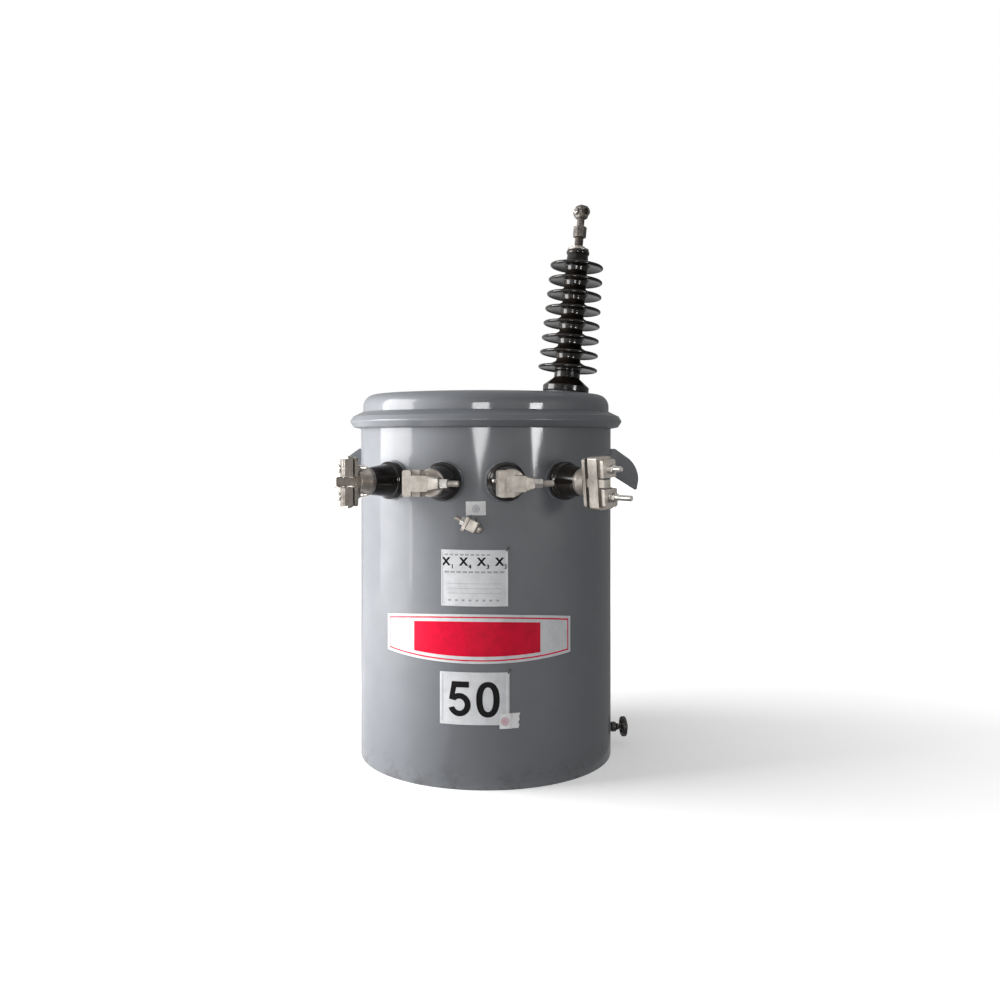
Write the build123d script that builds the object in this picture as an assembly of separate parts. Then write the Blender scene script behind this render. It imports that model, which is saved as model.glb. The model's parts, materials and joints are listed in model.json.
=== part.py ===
from build123d import *
import os

os.makedirs("parts", exist_ok=True)

# Single-phase pole transformer, standing on its base rim.
# Millimetres. Origin at the centre of the rim on the ground, +Z up.
# The front, with the four low-voltage bushings, faces -Y.
# Angles round the tank start at the front and grow towards +X.

# Tank
TANK_RADIUS = 250
WALL = 3
BOTTOM_RECESS = 17
BOTTOM_THICKNESS = 4
LIP_RADIUS = 263
LIP_BOTTOM = 649
LIP_TOP = 655

# Core and coils inside the tank
CORE_WIDTH = 340
CORE_TALL = 400
CORE_DEPTH = 110
CORE_LIMB = 100
CORE_YOKE = 90
CORE_CORNER = 40
COIL_BUILD = 40
COIL_TALL = 210

# Cover
GASKET_THICKNESS = 5
COVER_LIP_THICKNESS = 5
COVER_RADIUS = 246
COVER_EDGE_TOP = 710
COVER_RISE = 6
COVER_SHOULDER = 24

# Band that holds the cover down, with two ears and a bolt at the back
BAND_RADIUS = 272
BAND_BOTTOM = 643
BAND_NOSE = 657
BAND_TOP = 676
BAND_GAP = 14
BAND_EAR_THICKNESS = 8
BAND_EAR_START = 266
BAND_EAR_END = 296
BAND_EAR_HEIGHT = 20
BAND_EAR_MIDDLE = 658
BAND_BOLT_RADIUS = 5
BAND_BOLT_LENGTH = 64
BAND_BOLT_OUT = 284
BAND_NUT_RADIUS = 8.5
BAND_NUT_THICKNESS = 8

# Low-voltage bushings, numbered from the left
LV_HEIGHT = 547
LV_ANGLES = (-38.1, -12.7, 12.7, 38.1)
LV_PAD_RADIUS = 33
LV_PAD_DEPTH = 3
LV_GASKET_DEPTH = 3
LV_FLANGE_RADIUS = 34.5
LV_FLANGE_DEPTH = 9
LV_NECK_RADIUS = 30
LV_TIP_RADIUS = 24
LV_LENGTH = 62

# Metal cup that ends each low-voltage bushing
CUP_RADIUS = 25.5
CUP_RIM_END = 70
CUP_NECK_RADIUS = 18

# Clamps on the outer low-voltage bushings, bolted round a flat tang.
# For each: end of the cup, start of the back plate, of the jaw and of the caps,
# end of the caps, and turn about the stud in degrees.
OUTER_CLAMPS = {
    1: (90, 97, 109, 120, 134, 0),
    4: (80, 80, 96, 120, 134, 4.3),
}
CLAMP_WIDTH = 33
CLAMP_BACK_HEIGHT = 86
CLAMP_BACK_DEPTH = 8
CLAMP_JAW_HEIGHT = 91
CLAMP_CAP_HEIGHT = 82
CLAMP_CORNER = 5
CLAMP_BOLT_RISE = 24
CLAMP_BOLT_SIDE = 4
CLAMP_HOLE_RADIUS = 5.5
CAP_ROUNDING = 8
CAP_HEAD_WIDTH = 28
CAP_HEAD_DEPTH = 7
CAP_NECK_WIDTH = 22
TANG_LEFT = -14
TANG_RIGHT = 1
TANG_HALF_HEIGHT = 7.2
TANG_WAY_HALF_HEIGHT = 9
CABLE_SEAT_RADIUS = 7
CABLE_SEAT_SIDE = 9

# Eye connectors on the inner low-voltage bushings, lying along the wall.
# Each sits a little to one side of its stud.
EYE_SHIFTS = {2: -10, 3: 0}
EYE_LEFT = -28
EYE_PLATE_RIGHT = -12
EYE_HOUSING_RIGHT = 1
EYE_BLOCK_RIGHT = 18
EYE_TAPER_RIGHT = 34
EYE_SHANK_RIGHT = 68
EYE_HEIGHT = 45
EYE_BLOCK_HEIGHT = 27
EYE_DEPTH = 36
EYE_PLATE_DEPTH = 32
EYE_HOUSING_DEPTH = 24
EYE_TIP = 20
EYE_MIDDLE = 18
EYE_BACK = 2
EYE_ROUNDING = 4
EYE_TAPER_ROUNDING = 3
EYE_CABLE_RADIUS = 8
EYE_CABLE_SIDE = -11
EYE_CABLE_OUT = 14
EYE_SHANK_RADIUS = 5
EYE_NUT_RADIUS = 8.5
EYE_NUT_LENGTH = 15

# High-voltage bushing, leaning outward on a boss welded to the cover
HV_RADIUS = 165
HV_ANGLE = 105
HV_TILT = 6.2
HV_TILT_ANGLE = 125
HV_BOSS_RADIUS = 44
HV_BOSS_TOP = 6
HV_GASKET_TOP = 8.5
HV_FLANGE_RADIUS = 47
HV_FLANGE_TOP = 20
HV_CONE_TOP = 37
HV_CORE_RADIUS = 27
HV_CORE_TAPER = 5
HV_SHEDS = 8
HV_SHED_PITCH = 30.3
HV_FIRST_SHED = 57
HV_SHED_RADIUS = 60.6
HV_SHED_TAPER = 6
HV_RIM = 3.1
HV_HOLLOW_RISE = 2.5
HV_UNDER_ROUNDING = 4
HV_TOP_ROUNDING = 14
HV_TOP_SAG = 6.2
HV_BEAD_RADIUS = 23.7
HV_BEAD_BOTTOM = 293
HV_CORE_TOP = 303

# Metal parts on top of the high-voltage bushing
HV_CAP_RADIUS = 22
HV_CAP_TOP = 306.5
HV_WASHER_RADIUS = 14
HV_WASHER_TOP = 311
HV_STUD_RADIUS = 9
HV_NUT_BOTTOM = 331
HV_NUT_TOP = 353
HV_NUT_RADIUS = 14
HV_NUT_ROUNDING = 3
HV_NECK_RADIUS = 7.5
HV_NECK_TOP = 372
HV_EYE_HEIGHT = 383.5
HV_HEAD_WIDTH = 24
HV_HEAD_HEIGHT = 29
HV_HEAD_ROUNDING = 7
HV_LIP_RADIUS = 10.5
HV_EYE_LENGTH = 30
HV_EYE_RADIUS = 6
HV_SCREW_BOSS_RADIUS = 7
HV_SCREW_BOSS_REACH = 14.5

# Lifting lugs: ears with a point that holds a sling's loop against the tank
LUG_THICKNESS = 8
LUG_TOP = 603
LUG_TOP_REACH = 9
LUG_SHOULDER = (38, 582)
LUG_BULGE = (51, 563)
LUG_SIDE = (55, 541)
LUG_POINT = (52, 523)
LUG_POINT_INSIDE = (48, 521)
LUG_NOTCH_TOP = 552

# Hanger brackets at the back
HANGER_SPACING = 286
HANGER_MIDDLE = 360
HANGER_STANDOFF = 44
HANGER_SHEET = 6
HANGER_WIDTH = 76
HANGER_HEIGHT = 84
HANGER_CORNER = 10
HANGER_SLOT_RADIUS = 9
HANGER_SLOT_LENGTH = 36

# Earth connector on the front, sloping down to the right
EARTH_ANGLE = -1.6
EARTH_HEIGHT = 473
EARTH_TURN = -26
EARTH_BOSS_RADIUS = 12
EARTH_BOSS_REACH = 9
EARTH_MIDDLE = 18
EARTH_DEPTH = 18
EARTH_BODY_HEIGHT = 20
EARTH_BODY_RIGHT = 17
EARTH_SADDLE_LEFT = -9
EARTH_SADDLE_RIGHT = -3
EARTH_SADDLE_LOW = -16
EARTH_SADDLE_HIGH = 13
EARTH_SHANK_LEFT = -28
EARTH_SHANK_RADIUS = 3.5
EARTH_HEAD_RADIUS = 7
EARTH_HEAD_RIGHT = 25
EARTH_ROUNDING = 4
EARTH_HEAD_ROUNDING = 3
EARTH_NUT_RADIUS = 8
EARTH_NUT_LENGTH = 7
EARTH_CABLE_SIDE = 6
EARTH_CABLE_RADIUS = 5

# Drain valve low on the right
DRAIN_ANGLE = 100
DRAIN_HEIGHT = 35
DRAIN_BOSS_RADIUS = 13
DRAIN_BOSS_REACH = 4
DRAIN_BORE_RADIUS = 3.05
DRAIN_NECK_RADIUS = 6.5
DRAIN_BULGE_RADIUS = 10
DRAIN_BODY_END = 22
DRAIN_STEM_RADIUS = 3
WHEEL_RADIUS = 20
WHEEL_INNER_RADIUS = 13
WHEEL_START = 27
WHEEL_END = 37
WHEEL_SCALLOPS = 6
WHEEL_SCALLOP_RADIUS = 5.5


def turned(outline):
    """Revolve (radius, height, corner rounding) points about Z."""
    face = make_face(Polyline(*[(r, z) for r, z, _ in outline], close=True))
    for r, z, rounding in outline:
        if rounding:
            corner = face.vertices().sort_by_distance((r, z, 0))[0]
            face = fillet(corner, rounding)
    return revolve(Plane.XZ * face, Axis.Z)


def disc(radius, bottom, top):
    """Plain round bar along Z."""
    return Pos(0, 0, bottom) * Cylinder(radius, top - bottom, align=(Align.CENTER, Align.CENTER, Align.MIN))


def block(low, high):
    """Plain box between two corners."""
    size = [b - a for a, b in zip(low, high)]
    middle = [(a + b) / 2 for a, b in zip(low, high)]
    return Pos(*middle) * Box(*size)


def on_wall(shape, angle, height):
    """Set a shape made with +Z outward and +Y up against the tank wall."""
    return Rot(0, 0, angle) * Pos(0, -TANK_RADIUS, height) * Rot(90, 0, 0) * shape


def save(shape, node):
    export_step(shape, "parts/" + node + ".step")


# Tank shell: rolled wall with a lip turned out at the top
tank_wall = turned([
    (TANK_RADIUS - WALL, 0, 0),
    (TANK_RADIUS, 0, 0),
    (TANK_RADIUS, LIP_BOTTOM, 2),
    (LIP_RADIUS, LIP_BOTTOM, 0),
    (LIP_RADIUS, LIP_TOP, 0),
    (TANK_RADIUS - WALL, LIP_TOP, 0),
])
save(tank_wall, "tank_shell")

tank_bottom = disc(TANK_RADIUS - WALL, BOTTOM_RECESS, BOTTOM_RECESS + BOTTOM_THICKNESS)
save(tank_bottom, "tank_bottom")

# Wound core standing on the tank bottom, with a coil round each limb
core_bottom = BOTTOM_RECESS + BOTTOM_THICKNESS
core_window = (CORE_WIDTH - 2 * CORE_LIMB, CORE_TALL - 2 * CORE_YOKE)
core_loop = RectangleRounded(CORE_WIDTH, CORE_TALL, CORE_CORNER) - Rectangle(*core_window)
core = extrude(Plane.XZ * core_loop, CORE_DEPTH / 2, both=True)
save(Pos(0, 0, core_bottom + CORE_TALL / 2) * core, "core")

coil_outline = RectangleRounded(CORE_LIMB + 2 * COIL_BUILD, CORE_DEPTH + 2 * COIL_BUILD, COIL_BUILD)
coil = extrude(coil_outline - Rectangle(CORE_LIMB, CORE_DEPTH), COIL_TALL)
coil_side = (CORE_WIDTH - CORE_LIMB) / 2
save(Pos(-coil_side, 0, core_bottom + CORE_YOKE) * coil, "coil_left")
save(Pos(coil_side, 0, core_bottom + CORE_YOKE) * coil, "coil_right")

# Cover: a pressed pan turned upside down, with its own lip
cover_lip_bottom = LIP_TOP + GASKET_THICKNESS
cover_lip_top = cover_lip_bottom + COVER_LIP_THICKNESS
cover_outside = turned([
    (0, cover_lip_bottom, 0),
    (COVER_RADIUS, cover_lip_bottom, 0),
    (COVER_RADIUS, COVER_EDGE_TOP, COVER_SHOULDER),
    (0, COVER_EDGE_TOP + COVER_RISE, 0),
])
cover_inside = turned([
    (0, cover_lip_bottom, 0),
    (COVER_RADIUS - WALL, cover_lip_bottom, 0),
    (COVER_RADIUS - WALL, COVER_EDGE_TOP - WALL, COVER_SHOULDER - WALL),
    (0, COVER_EDGE_TOP + COVER_RISE - WALL, 0),
])
cover_lip = disc(LIP_RADIUS, cover_lip_bottom, cover_lip_top) - disc(
    COVER_RADIUS - WALL, cover_lip_bottom, cover_lip_top)
cover = cover_outside - cover_inside + cover_lip
save(cover, "cover")

cover_gasket = disc(LIP_RADIUS - 1, LIP_TOP, cover_lip_bottom) - disc(
    TANK_RADIUS, LIP_TOP, cover_lip_bottom)
save(cover_gasket, "cover_gasket")

# Band: a rolled channel that grips both lips, split at the back
band_outer = [
    (TANK_RADIUS + 2, BAND_BOTTOM, 0),
    (LIP_RADIUS + 1.5, BAND_BOTTOM + 2.5, 3),
    (BAND_RADIUS, BAND_NOSE, 3.5),
    (LIP_RADIUS + 3, BAND_NOSE + 10, 3),
    (COVER_RADIUS + 1.5, BAND_TOP, 0),
]
band_inner = [
    (COVER_RADIUS + 1.5, cover_lip_top, 0),
    (LIP_RADIUS + 1, cover_lip_top, 0),
    (LIP_RADIUS + 1, LIP_BOTTOM, 0),
    (TANK_RADIUS + 2, LIP_BOTTOM, 0),
]
band_split = block((-BAND_GAP / 2, 0, BAND_BOTTOM - 1), (BAND_GAP / 2, 2 * TANK_RADIUS, BAND_TOP + 1))
band = turned(band_outer + band_inner) - band_split

ear_outside = BAND_GAP / 2 + BAND_EAR_THICKNESS
band_ear = block(
    (BAND_GAP / 2, BAND_EAR_START, BAND_EAR_MIDDLE - BAND_EAR_HEIGHT / 2),
    (ear_outside, BAND_EAR_END, BAND_EAR_MIDDLE + BAND_EAR_HEIGHT / 2))
bolt_line = Pos(0, BAND_BOLT_OUT, BAND_EAR_MIDDLE) * Rot(0, 90, 0)
band_ear = band_ear - bolt_line * Cylinder(BAND_BOLT_RADIUS + 0.5, BAND_BOLT_LENGTH)
band = band + band_ear + mirror(band_ear, Plane.YZ)
save(band, "cover_band")

band_bolt = bolt_line * Cylinder(BAND_BOLT_RADIUS, BAND_BOLT_LENGTH)
band_nut = extrude(RegularPolygon(BAND_NUT_RADIUS, 6), BAND_NUT_THICKNESS)
band_nut = bolt_line * Pos(0, 0, ear_outside) * band_nut
band_bolt = band_bolt + band_nut + mirror(band_nut, Plane.YZ)
save(band_bolt, "cover_band_bolt")


# Low-voltage bushings
def lv_pad():
    """Pad welded on the wall, cut to the wall's curve."""
    pad = disc(LV_PAD_RADIUS, -6, LV_PAD_DEPTH)
    return on_wall(pad, 0, LV_HEIGHT) - disc(TANK_RADIUS, 0, LIP_TOP)


insulator_start = LV_PAD_DEPTH + LV_GASKET_DEPTH
flange_end = insulator_start + LV_FLANGE_DEPTH
lv_insulator = turned([
    (0, insulator_start, 0),
    (LV_FLANGE_RADIUS, insulator_start, 2),
    (LV_FLANGE_RADIUS, flange_end, 4),
    (LV_NECK_RADIUS, flange_end + 3, 3),
    (LV_TIP_RADIUS, LV_LENGTH, 3),
    (0, LV_LENGTH, 0),
])
lv_gasket = disc(LV_FLANGE_RADIUS - 1, LV_PAD_DEPTH, insulator_start)

pads = []
gaskets = []
for number, angle in enumerate(LV_ANGLES, start=1):
    pads.append(Rot(0, 0, angle) * lv_pad())
    gaskets.append(on_wall(lv_gasket, angle, LV_HEIGHT))
    save(on_wall(lv_insulator, angle, LV_HEIGHT), "lv_insulator_" + str(number))
save(Compound(children=pads), "lv_pads")
save(Compound(children=gaskets), "lv_gaskets")


# Outer connectors: a cup with a tang, gripped by bolted plates
def outer_stud(cup_end, tang_end):
    """Metal cup on the insulator with a flat tang running outward."""
    cup = turned([
        (0, LV_LENGTH, 0),
        (CUP_RADIUS, LV_LENGTH, 2),
        (CUP_RADIUS, CUP_RIM_END, 3),
        (CUP_NECK_RADIUS, cup_end, 2),
        (0, cup_end, 0),
    ])
    tang = block((TANG_LEFT, -TANG_HALF_HEIGHT, cup_end - 1), (TANG_RIGHT, TANG_HALF_HEIGHT, tang_end))
    return cup + tang


def bolt_holes(start, end):
    """The two bolt ways through the clamp, as solids to cut away."""
    hole = disc(CLAMP_HOLE_RADIUS, start, end)
    upper = Pos(CLAMP_BOLT_SIDE, CLAMP_BOLT_RISE, 0) * hole
    lower = Pos(CLAMP_BOLT_SIDE, -CLAMP_BOLT_RISE, 0) * hole
    return upper + lower


def clamp_plate(height, start, end):
    """Upright plate with a way for the tang, open to the right."""
    plate = extrude(RectangleRounded(CLAMP_WIDTH, height, CLAMP_CORNER), end - start)
    tang_way = block((TANG_LEFT, -TANG_WAY_HALF_HEIGHT, start), (CLAMP_WIDTH, TANG_WAY_HALF_HEIGHT, end))
    return Pos(0, 0, start) * plate - tang_way - bolt_holes(start, end)


def rounded_caps(start, end):
    """Two lobes whose outer upright edges are well rounded."""
    wide = CLAMP_WIDTH / 2
    high = CLAMP_CAP_HEIGHT / 2
    caps = block((-wide, -high, start), (wide, high, end))
    caps = fillet(caps.edges().filter_by(Axis.Y).group_by(Axis.Z)[-1], CAP_ROUNDING)
    return caps - between_caps(start, end) - bolt_holes(start, end)


def headed_caps(start, end):
    """Two lobes with a neck and a wider head."""
    neck_end = end - CAP_HEAD_DEPTH
    wide = CAP_NECK_WIDTH / 2
    high = CLAMP_CAP_HEIGHT / 2
    neck = block((-wide, -high, start), (wide, high, neck_end))
    head = extrude(RectangleRounded(CAP_HEAD_WIDTH, CLAMP_CAP_HEIGHT, CLAMP_CORNER), CAP_HEAD_DEPTH)
    caps = neck + Pos(0, 0, neck_end) * head
    return caps - between_caps(start, end) - bolt_holes(start, end)


def between_caps(start, end):
    """The gap between the upper and the lower lobe."""
    half = TANG_WAY_HALF_HEIGHT + 0.5
    return block((-CLAMP_WIDTH, -half, start), (CLAMP_WIDTH, half, end))


def seat_middle(number):
    """How far out the cable lies, between the back plate and the jaw."""
    back_start, jaw_start = OUTER_CLAMPS[number][1:3]
    return (back_start + CLAMP_BACK_DEPTH + jaw_start) / 2


for number, (cup_end, back_start, jaw_start, cap_start, cap_end, turn) in OUTER_CLAMPS.items():
    seat = Pos(CABLE_SEAT_SIDE, 0, seat_middle(number)) * Rot(90, 0, 0) * Cylinder(
        CABLE_SEAT_RADIUS, 2 * CLAMP_JAW_HEIGHT)
    caps = rounded_caps(cap_start, cap_end) if number == 1 else headed_caps(cap_start, cap_end)
    pieces = {
        "lv_stud_": outer_stud(cup_end, cap_end),
        "lv_clamp_back_": clamp_plate(CLAMP_BACK_HEIGHT, back_start, back_start + CLAMP_BACK_DEPTH) - seat,
        "lv_clamp_jaw_": clamp_plate(CLAMP_JAW_HEIGHT, jaw_start, cap_start) - seat,
        "lv_clamp_caps_": caps,
    }
    for name, piece in pieces.items():
        save(on_wall(Rot(0, 0, turn) * piece, LV_ANGLES[number - 1], LV_HEIGHT), name + str(number))


# Inner connectors: an eye with a tapered tail, a shank and a nut
def along_x(shape, start):
    """Turn a shape made along +Z so that it runs along +X."""
    return Pos(start, 0, EYE_MIDDLE) * Rot(0, 90, 0) * shape


def eye_body():
    """Eye connector standing on the cup's face, with an upright cable way."""
    rise = EYE_HEIGHT / 2
    plate = block((EYE_LEFT, -rise, EYE_BACK), (EYE_PLATE_RIGHT, rise, EYE_BACK + EYE_PLATE_DEPTH))
    plate = fillet(plate.edges().filter_by(Axis.Z), EYE_ROUNDING)
    inside_plate = EYE_PLATE_RIGHT - EYE_ROUNDING
    housing = block(
        (inside_plate, -rise, EYE_BACK),
        (EYE_HOUSING_RIGHT, rise, EYE_BACK + EYE_HOUSING_DEPTH))
    half = EYE_BLOCK_HEIGHT / 2
    tail_block = block((inside_plate, -half, 0), (EYE_BLOCK_RIGHT, half, EYE_DEPTH))
    wide_end = Plane(origin=(EYE_BLOCK_RIGHT, 0, EYE_MIDDLE), x_dir=(0, 1, 0), z_dir=(1, 0, 0))
    narrow_end = Plane(origin=(EYE_TAPER_RIGHT, 0, EYE_MIDDLE), x_dir=(0, 1, 0), z_dir=(1, 0, 0))
    taper = loft([
        wide_end * RectangleRounded(EYE_BLOCK_HEIGHT, EYE_DEPTH - 2, EYE_TAPER_ROUNDING),
        narrow_end * RectangleRounded(EYE_TIP, EYE_TIP, EYE_TAPER_ROUNDING),
    ])
    shank = along_x(disc(EYE_SHANK_RADIUS, 0, EYE_SHANK_RIGHT - EYE_TAPER_RIGHT), EYE_TAPER_RIGHT)
    cable = Rot(90, 0, 0) * Cylinder(EYE_CABLE_RADIUS, 2 * EYE_HEIGHT)
    cable = Pos(EYE_CABLE_SIDE, 0, EYE_CABLE_OUT) * cable
    return plate + housing + tail_block + taper + shank - cable


def eye_nut():
    """Nut on the shank, against the end of the taper."""
    nut = extrude(RegularPolygon(EYE_NUT_RADIUS, 6), EYE_NUT_LENGTH)
    nut = nut - disc(EYE_SHANK_RADIUS, 0, EYE_NUT_LENGTH)
    return along_x(nut, EYE_TAPER_RIGHT)


inner_stud = turned([
    (0, LV_LENGTH, 0),
    (CUP_RADIUS - 1, LV_LENGTH, 2),
    (CUP_RADIUS - 1, CUP_RIM_END, 3),
    (0, CUP_RIM_END, 0),
])
for number, shift in EYE_SHIFTS.items():
    angle = LV_ANGLES[number - 1]
    seated = Pos(shift, 0, CUP_RIM_END)
    save(on_wall(inner_stud, angle, LV_HEIGHT), "lv_stud_" + str(number))
    save(on_wall(seated * eye_body(), angle, LV_HEIGHT), "lv_eye_" + str(number))
    save(on_wall(seated * eye_nut(), angle, LV_HEIGHT), "lv_eye_nut_" + str(number))

# High-voltage bushing
hv_place = (
    Rot(0, 0, HV_ANGLE) * Pos(0, -HV_RADIUS, COVER_EDGE_TOP)
    * Rot(0, 0, HV_TILT_ANGLE - HV_ANGLE) * Rot(HV_TILT, 0, 0)
)
save(hv_place * disc(HV_BOSS_RADIUS, -HV_BOSS_TOP, HV_BOSS_TOP) - cover_outside, "hv_boss")
save(hv_place * disc(HV_BOSS_RADIUS, HV_BOSS_TOP, HV_GASKET_TOP), "hv_gasket")


def core_radius(height):
    """Porcelain core, slimmer towards the top."""
    return HV_CORE_RADIUS - HV_CORE_TAPER * height / HV_CORE_TOP


def shed_outline(number, start):
    """One shed: hollow underneath, with a round drip rim and a sloping top."""
    height = HV_FIRST_SHED + number * HV_SHED_PITCH
    tip = HV_SHED_RADIUS - HV_SHED_TAPER * number / (HV_SHEDS - 1)
    core = core_radius(height)
    root_low = (core, height - HV_UNDER_ROUNDING)
    root_middle = (core + 1.8, height + 0.7)
    hollow_inside = (core + 6, height + HV_HOLLOW_RISE)
    hollow_outside = (tip - 2.2 * HV_RIM, height - 0.8)
    rim_low = (tip - 1.3 * HV_RIM, height - HV_RIM)
    rim_high = (tip - HV_RIM, height + HV_RIM)
    root_high = (core_radius(height + HV_TOP_ROUNDING), height + HV_TOP_ROUNDING)
    top_middle = ((rim_high[0] + root_high[0]) / 2, height + HV_TOP_SAG)
    edges = [
        Line(start, root_low),
        ThreePointArc(root_low, root_middle, hollow_inside),
        Line(hollow_inside, hollow_outside),
        Line(hollow_outside, rim_low),
        ThreePointArc(rim_low, (tip, height), rim_high),
        ThreePointArc(rim_high, top_middle, root_high),
    ]
    return edges, root_high


def hv_outline():
    """Half section of the porcelain, from the flange up to the bead at the top."""
    base = [
        (0, HV_GASKET_TOP),
        (HV_FLANGE_RADIUS - 1.5, HV_GASKET_TOP),
        (HV_FLANGE_RADIUS, HV_GASKET_TOP + 1.5),
        (HV_FLANGE_RADIUS, HV_FLANGE_TOP - 2),
        (HV_FLANGE_RADIUS - 2, HV_FLANGE_TOP),
        (core_radius(HV_CONE_TOP), HV_CONE_TOP),
    ]
    edges = [Line(a, b) for a, b in zip(base, base[1:])]
    last = base[-1]
    for number in range(HV_SHEDS):
        shed, last_of_shed = shed_outline(number, last)
        edges.extend(shed)
        last = last_of_shed
    bead_middle = (HV_BEAD_BOTTOM + HV_CORE_TOP) / 2
    bead_low = (HV_BEAD_RADIUS - 2.5, HV_BEAD_BOTTOM)
    bead_high = (HV_BEAD_RADIUS - 2.5, HV_CORE_TOP)
    edges.append(Line(last, bead_low))
    edges.append(ThreePointArc(bead_low, (HV_BEAD_RADIUS, bead_middle), bead_high))
    edges.append(Line(bead_high, (0, HV_CORE_TOP)))
    edges.append(Line((0, HV_CORE_TOP), base[0]))
    return edges


hv_insulator = revolve(Plane.XZ * make_face(hv_outline()), Axis.Z)
save(hv_place * hv_insulator, "hv_insulator")

hv_cap = disc(HV_CAP_RADIUS, HV_CORE_TOP, HV_CAP_TOP) + disc(HV_WASHER_RADIUS, HV_CAP_TOP, HV_WASHER_TOP)
save(hv_place * hv_cap, "hv_cap")
save(hv_place * disc(HV_STUD_RADIUS, HV_WASHER_TOP, HV_NUT_BOTTOM), "hv_stud")

hv_nut = extrude(RegularPolygon(HV_NUT_RADIUS, 6), HV_NUT_TOP - HV_NUT_BOTTOM)
hv_nut = fillet(hv_nut.edges().filter_by(Axis.Z), HV_NUT_ROUNDING)
save(hv_place * Pos(0, 0, HV_NUT_BOTTOM) * hv_nut, "hv_nut")

hv_head = fillet(Box(HV_HEAD_WIDTH, HV_HEAD_WIDTH, HV_HEAD_HEIGHT).edges(), HV_HEAD_ROUNDING)
hv_head = hv_head + Rot(0, 90, 0) * Cylinder(HV_LIP_RADIUS, HV_EYE_LENGTH)
hv_head = hv_head + Rot(-90, 0, 0) * disc(HV_SCREW_BOSS_RADIUS, 0, HV_SCREW_BOSS_REACH)
hv_head = hv_head - Rot(0, 90, 0) * Cylinder(HV_EYE_RADIUS, 2 * HV_EYE_LENGTH)
hv_neck = disc(HV_NECK_RADIUS, HV_NUT_TOP, HV_NECK_TOP)
save(hv_place * (hv_neck + Pos(0, 0, HV_EYE_HEIGHT) * hv_head), "hv_terminal")


# Lifting lugs
def from_wall(point):
    """Point of a lug, given as reach from the wall and height."""
    return (TANK_RADIUS + point[0], point[1])


def lug():
    """Ear welded edge-on to the tank, made in the XZ plane at +X."""
    inside = TANK_RADIUS - 1
    outline = [
        Line((inside, LUG_TOP), from_wall((LUG_TOP_REACH, LUG_TOP))),
        Line(from_wall((LUG_TOP_REACH, LUG_TOP)), from_wall(LUG_SHOULDER)),
        ThreePointArc(from_wall(LUG_SHOULDER), from_wall(LUG_BULGE), from_wall(LUG_SIDE)),
        Line(from_wall(LUG_SIDE), from_wall(LUG_POINT)),
        Line(from_wall(LUG_POINT), from_wall(LUG_POINT_INSIDE)),
        Line(from_wall(LUG_POINT_INSIDE), (inside, LUG_NOTCH_TOP)),
        Line((inside, LUG_NOTCH_TOP), (inside, LUG_TOP)),
    ]
    plate = extrude(Plane.XZ * make_face(outline), LUG_THICKNESS / 2, both=True)
    return plate - disc(TANK_RADIUS, 0, LIP_TOP)


save(lug(), "lifting_lug_right")
save(mirror(lug(), Plane.YZ), "lifting_lug_left")


# Hanger brackets
def hanger():
    """Channel welded on its edges, with a slotted face for the pole bolt."""
    half = HANGER_WIDTH / 2
    half_inside = half - HANGER_SHEET
    back = TANK_RADIUS + HANGER_STANDOFF
    start = TANK_RADIUS - HANGER_STANDOFF
    low = -HANGER_HEIGHT / 2
    high = HANGER_HEIGHT / 2
    channel = block((-half, start, low), (half, back, high))
    corners = channel.edges().filter_by(Axis.Z).group_by(Axis.Y)[-1]
    channel = fillet(corners, HANGER_CORNER)
    inside = block((-half_inside, start - 1, low - 1), (half_inside, back - HANGER_SHEET, high + 1))
    corners = inside.edges().filter_by(Axis.Z).group_by(Axis.Y)[-1]
    inside = fillet(corners, HANGER_CORNER - HANGER_SHEET)
    straight = HANGER_SLOT_LENGTH - 2 * HANGER_SLOT_RADIUS
    slot = SlotCenterToCenter(straight, 2 * HANGER_SLOT_RADIUS, rotation=90)
    slot = Plane.XZ * extrude(slot, 2 * TANK_RADIUS, both=True)
    return channel - inside - slot


for name, rise in (("hanger_lower", -HANGER_SPACING / 2), ("hanger_upper", HANGER_SPACING / 2)):
    bracket = Pos(0, 0, HANGER_MIDDLE + rise) * hanger() - disc(TANK_RADIUS, 0, LIP_TOP)
    bracket = bracket.solids().sort_by(Axis.Y)[-1]
    save(bracket, name)


# Earth connector on the front of the tank
def along_wall(shape):
    """Set a connector made along +X against the wall, sloping down to the right."""
    return on_wall(Rot(0, 0, EARTH_TURN) * shape, EARTH_ANGLE, EARTH_HEIGHT)


earth_boss = on_wall(disc(EARTH_BOSS_RADIUS, -4, EARTH_BOSS_REACH), EARTH_ANGLE, EARTH_HEIGHT)
save(earth_boss - disc(TANK_RADIUS, 0, LIP_TOP), "earth_boss")

earth_back = EARTH_MIDDLE - EARTH_DEPTH / 2
earth_front = EARTH_MIDDLE + EARTH_DEPTH / 2
earth_half = EARTH_BODY_HEIGHT / 2
earth_line = Pos(0, 0, EARTH_MIDDLE) * Rot(0, 90, 0)
earth_block = block(
    (EARTH_SADDLE_RIGHT - 1, -earth_half, earth_back),
    (EARTH_BODY_RIGHT, earth_half, earth_front))
earth_block = fillet(earth_block.edges().filter_by(Axis.Y), EARTH_ROUNDING)
earth_saddle = block(
    (EARTH_SADDLE_LEFT, EARTH_SADDLE_LOW, earth_back + 2),
    (EARTH_SADDLE_RIGHT, EARTH_SADDLE_HIGH, earth_front))
earth_saddle = fillet(earth_saddle.edges().filter_by(Axis.X), EARTH_ROUNDING)
earth_head = earth_line * disc(EARTH_HEAD_RADIUS, EARTH_BODY_RIGHT, EARTH_HEAD_RIGHT)
earth_head = fillet(earth_head.edges().group_by(Axis.X)[-1], EARTH_HEAD_ROUNDING)
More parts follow.
